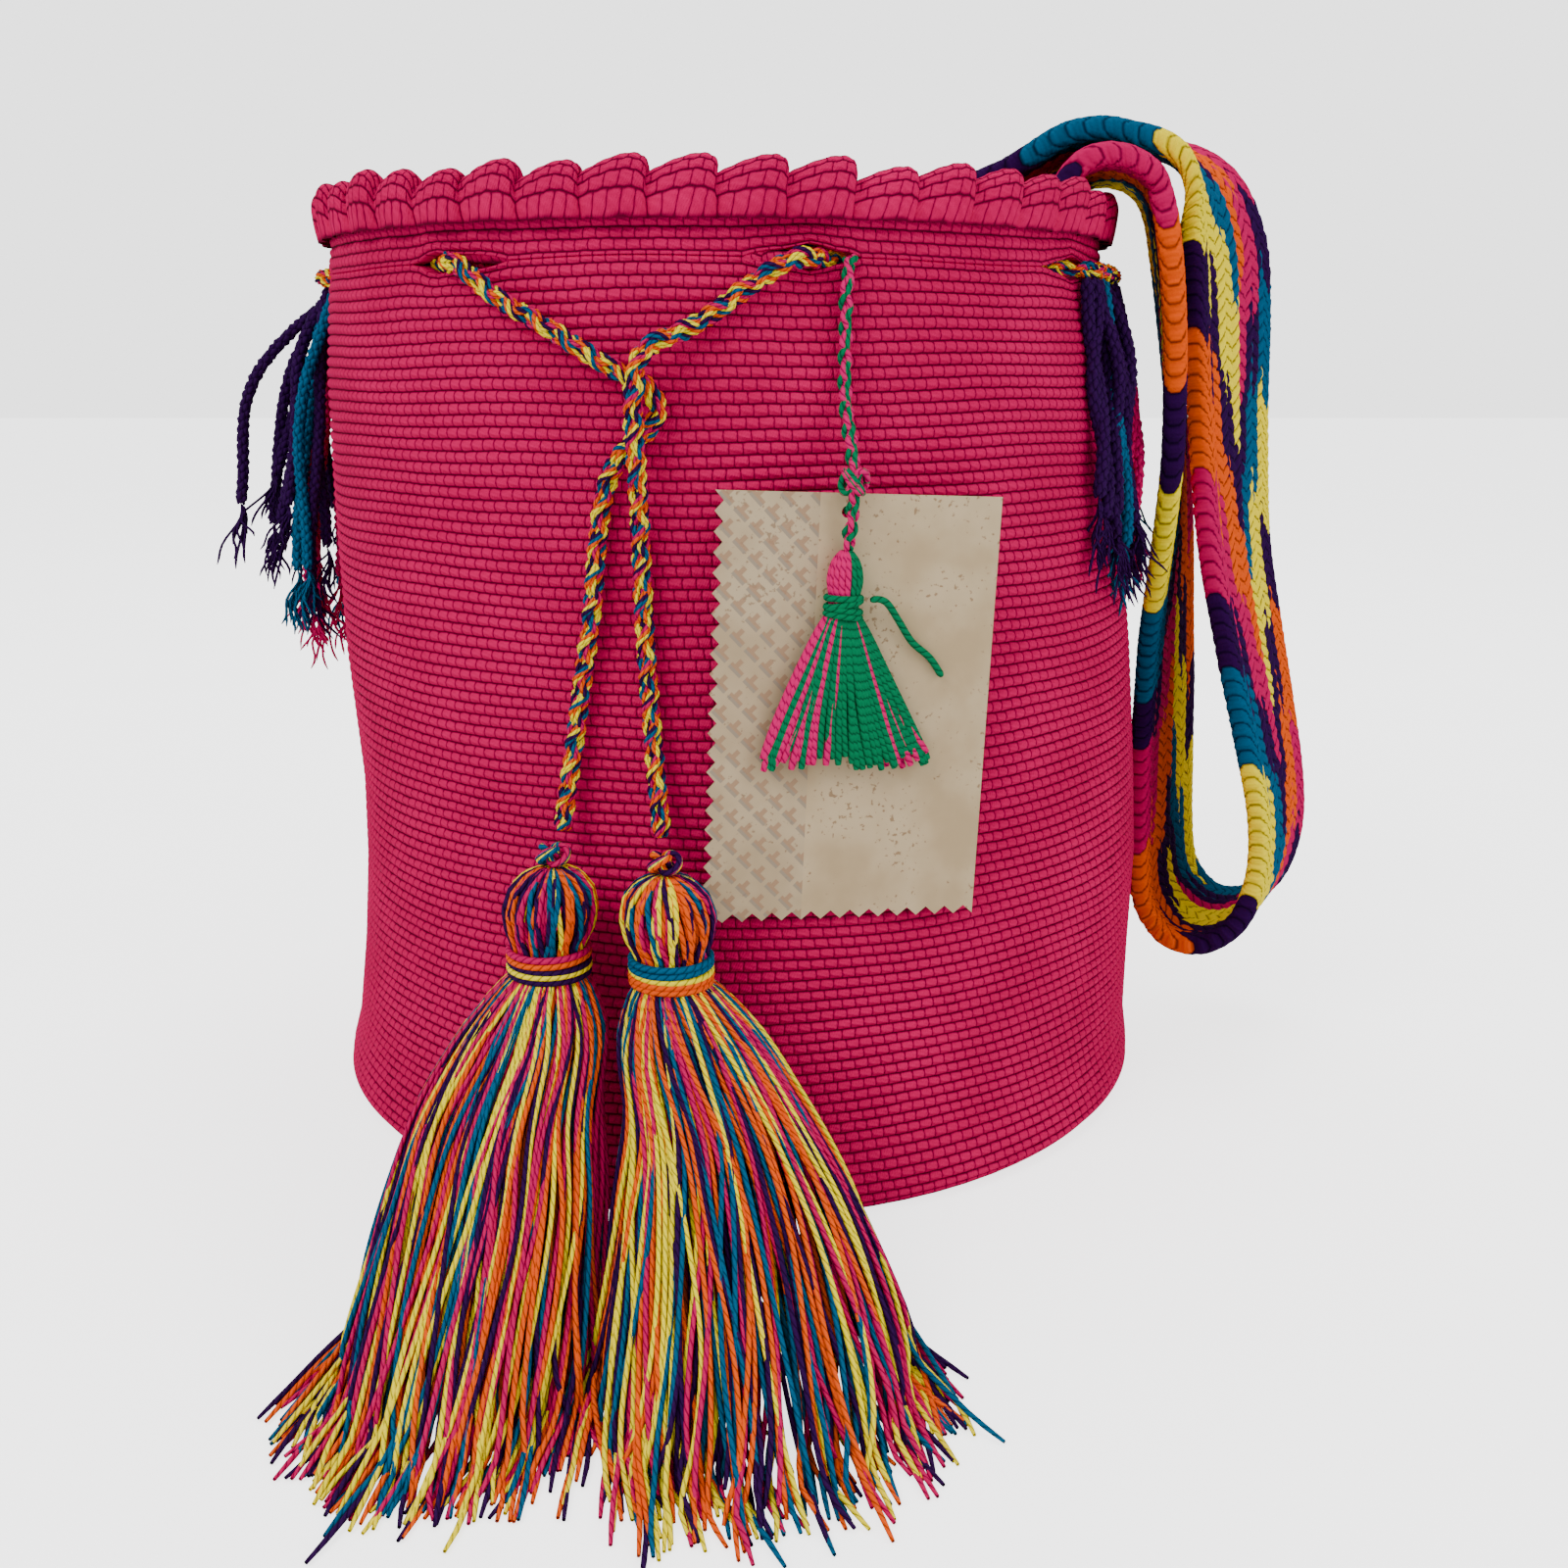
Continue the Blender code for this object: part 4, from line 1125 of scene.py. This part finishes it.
tag_route = [
    round_wall(18.2, SLIT_Z, -0.0014),
    round_wall(18.0, SLIT_Z - 0.0001, 0.0004),
    round_wall(17.5, SLIT_Z - 0.0025, 0.0022),
    round_wall(17.0, SLIT_Z - 0.0070, 0.0024),
    round_wall(16.5, 0.2300, 0.0022),
    round_wall(16.0, 0.2170, 0.0030),
    on_card(HOLE_X, TOP + 0.0085, 0.0024),
    on_card(HOLE_X, TOP + 0.0035, 0.0042),
    on_card(HOLE_X, TOP - 0.0015, 0.0048),
    on_card(HOLE_X, TOP - 0.0060, 0.0040),
    on_card(HOLE_X - 0.0002, TOP - 0.0105, 0.0032),
    on_card(HOLE_X - 0.0005, TOP - 0.0139, 0.0032),
]
lines, picks, tag_line = plaited(tag_route, TAG_CORD, 0.0125, [(0,), (0,), (1,), (1,)], step=0.0007)
tag_cord = place("tag_cord_yarns", spun("tag_cord", lines, 0.00075, picks, sides=7), *TAG_YARNS)
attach(tag_cord, "root")
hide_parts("tag_cord")

t = np.linspace(0, 2 * np.pi, 100)
lines = []
for k in range(4):
    wind = 2 * t + k * 0.5
    reach = 0.0024 + 0.0009 * np.cos(3 * t + k)
    lines.append(
        [
            on_card(
                HOLE_X + float(w) * math.cos(float(a)),
                TOP + 0.0030 + 0.0026 * math.sin(3 * float(b) + k),
                0.0044 + float(w) * 0.75 * math.sin(float(a)),
            )
            for w, a, b in zip(reach, wind, t)
        ]
    )
tag_knot = place("tag_cord_knot", spun("tag_cord_knot", lines, 0.00078, (1, 0, 1, 0)), *TAG_YARNS)
loop_turn = np.linspace(0, 2 * np.pi, 40)
tag_loop = place(
    "tag_loop_yarn",
    spun(
        "tag_loop",
        [[on_card(HOLE_X, HOLE_Y + 0.0028 + 0.0030 * math.cos(a), 0.0022 * math.sin(a)) for a in loop_turn]],
        0.0006,
        (0,),
        ends=1.0,
    ),
    *TAG_YARNS,
)
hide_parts("tag_loop")

chance = random.Random(12)
lines, picks = [], []
TAG_SKIRT = [
    (TOP - 0.0285, -0.0045, 0.0058, 0.0044, 0.0036),
    (TOP - 0.0335, -0.0045, 0.0110, 0.0056, 0.0037),
    (TOP - 0.0450, -0.0040, 0.0220, 0.0060, 0.0038),
    (TOP - 0.0560, -0.0030, 0.0330, 0.0056, 0.0036),
    (TOP - 0.0665, -0.0015, 0.0430, 0.0050, 0.0033),
]
TAG_SKIRT_YARNS, EVEN_YARNS, FRONT_YARNS = 64, 40, 50
TAG_HEAD_YARNS = 16
TAG_STEPS = 24
for k in range(TAG_SKIRT_YARNS):
    share = (k + 0.5) / EVEN_YARNS if k < EVEN_YARNS else chance.random()
    a = math.pi * (1 - share) if k < FRONT_YARNS else -math.pi * share
    bow = chance.gauss(0, 0.0007)
    cut = chance.uniform(-0.0020, 0.0028)
    line = []
    for number, (y, x, wide, thick, lift) in enumerate(TAG_SKIRT):
        step = number / (len(TAG_SKIRT) - 1)
        line.append(
            on_card(
                x + wide / 2 * math.cos(a) + bow * math.sin(step * 3),
                y + (cut if number == len(TAG_SKIRT) - 1 else 0),
                max(lift + (thick / 2 - 0.0008) * math.sin(a), 0.0014),
            )
        )
    fine = smooth_route(line, 0.001)
    lines.append(points_at(fine, np.linspace(0, len(fine) - 1, TAG_STEPS)))
    left_side = share < 0.42
    picks.append(1 if chance.random() < (0.62 if left_side else 0.25) else 0)
HEAD = [
    (TOP - 0.0138, 0.0016, 0.0014),
    (TOP - 0.0165, 0.0058, 0.0044),
    (TOP - 0.0205, 0.0076, 0.0054),
    (TOP - 0.0245, 0.0064, 0.0046),
    (TOP - 0.0290, 0.0058, 0.0044),
]
for k in range(TAG_HEAD_YARNS):
    a = 2 * math.pi * k / TAG_HEAD_YARNS
    line = [on_card(-0.0043 + w / 2 * math.cos(a), y, 0.0037 + d / 2 * math.sin(a)) for y, w, d in HEAD]
    fine = smooth_route(line, 0.0006)
    lines.append(points_at(fine, np.linspace(0, len(fine) - 1, TAG_STEPS)))
    picks.append(1 if math.cos(a) < 0.1 else 0)
thick = [0.00098] * TAG_SKIRT_YARNS + [0.00085] * TAG_HEAD_YARNS
tag_tassel = place("tag_tassel_yarns", spun("tag_tassel", lines, thick, picks, sides=7, ends=0.8), *TAG_YARNS)
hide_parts("tag_tassel")

turns = np.linspace(0, 2 * np.pi, 40)
lines = []
for k in range(4):
    y = TOP - 0.0250 - 0.00145 * k
    tilt = 0.0009 * math.sin(k * 1.9)
    lines.append(
        [
            on_card(
                -0.0044 + 0.0043 * math.cos(a), y + tilt * math.cos(a), 0.0037 + 0.0032 * math.sin(a)
            )
            for a in turns
        ]
    )
tag_wraps = place(
    "tag_neck_wraps", spun("tag_neck_wraps", lines, 0.00085, (0, 0, 0, 0), sides=8, ends=1.0), *TAG_YARNS
)
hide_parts("tag_binding")

tail_route = [
    on_card(0.0022, TOP - 0.0254, 0.0046),
    on_card(0.0045, TOP - 0.0252, 0.0046),
    on_card(0.0070, TOP - 0.0265, 0.0040),
    on_card(0.0105, TOP - 0.0310, 0.0030),
    on_card(0.0145, TOP - 0.0362, 0.0020),
    on_card(0.0195, TOP - 0.0402, 0.0016),
    on_card(0.0232, TOP - 0.0450, 0.0015),
]
TAIL = 0.0018
tail_line = smooth_route(tail_route, 0.0008)
tag_tail = place("tag_tail", spun("tag_tail", [tail_line], TAIL / 2, (0,), sides=8, ends=0.6), *TAG_YARNS)
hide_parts("tag_binding_tail")
for piece in (tag_knot, tag_loop, tag_tassel, tag_wraps, tag_tail):
    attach(piece, "root")
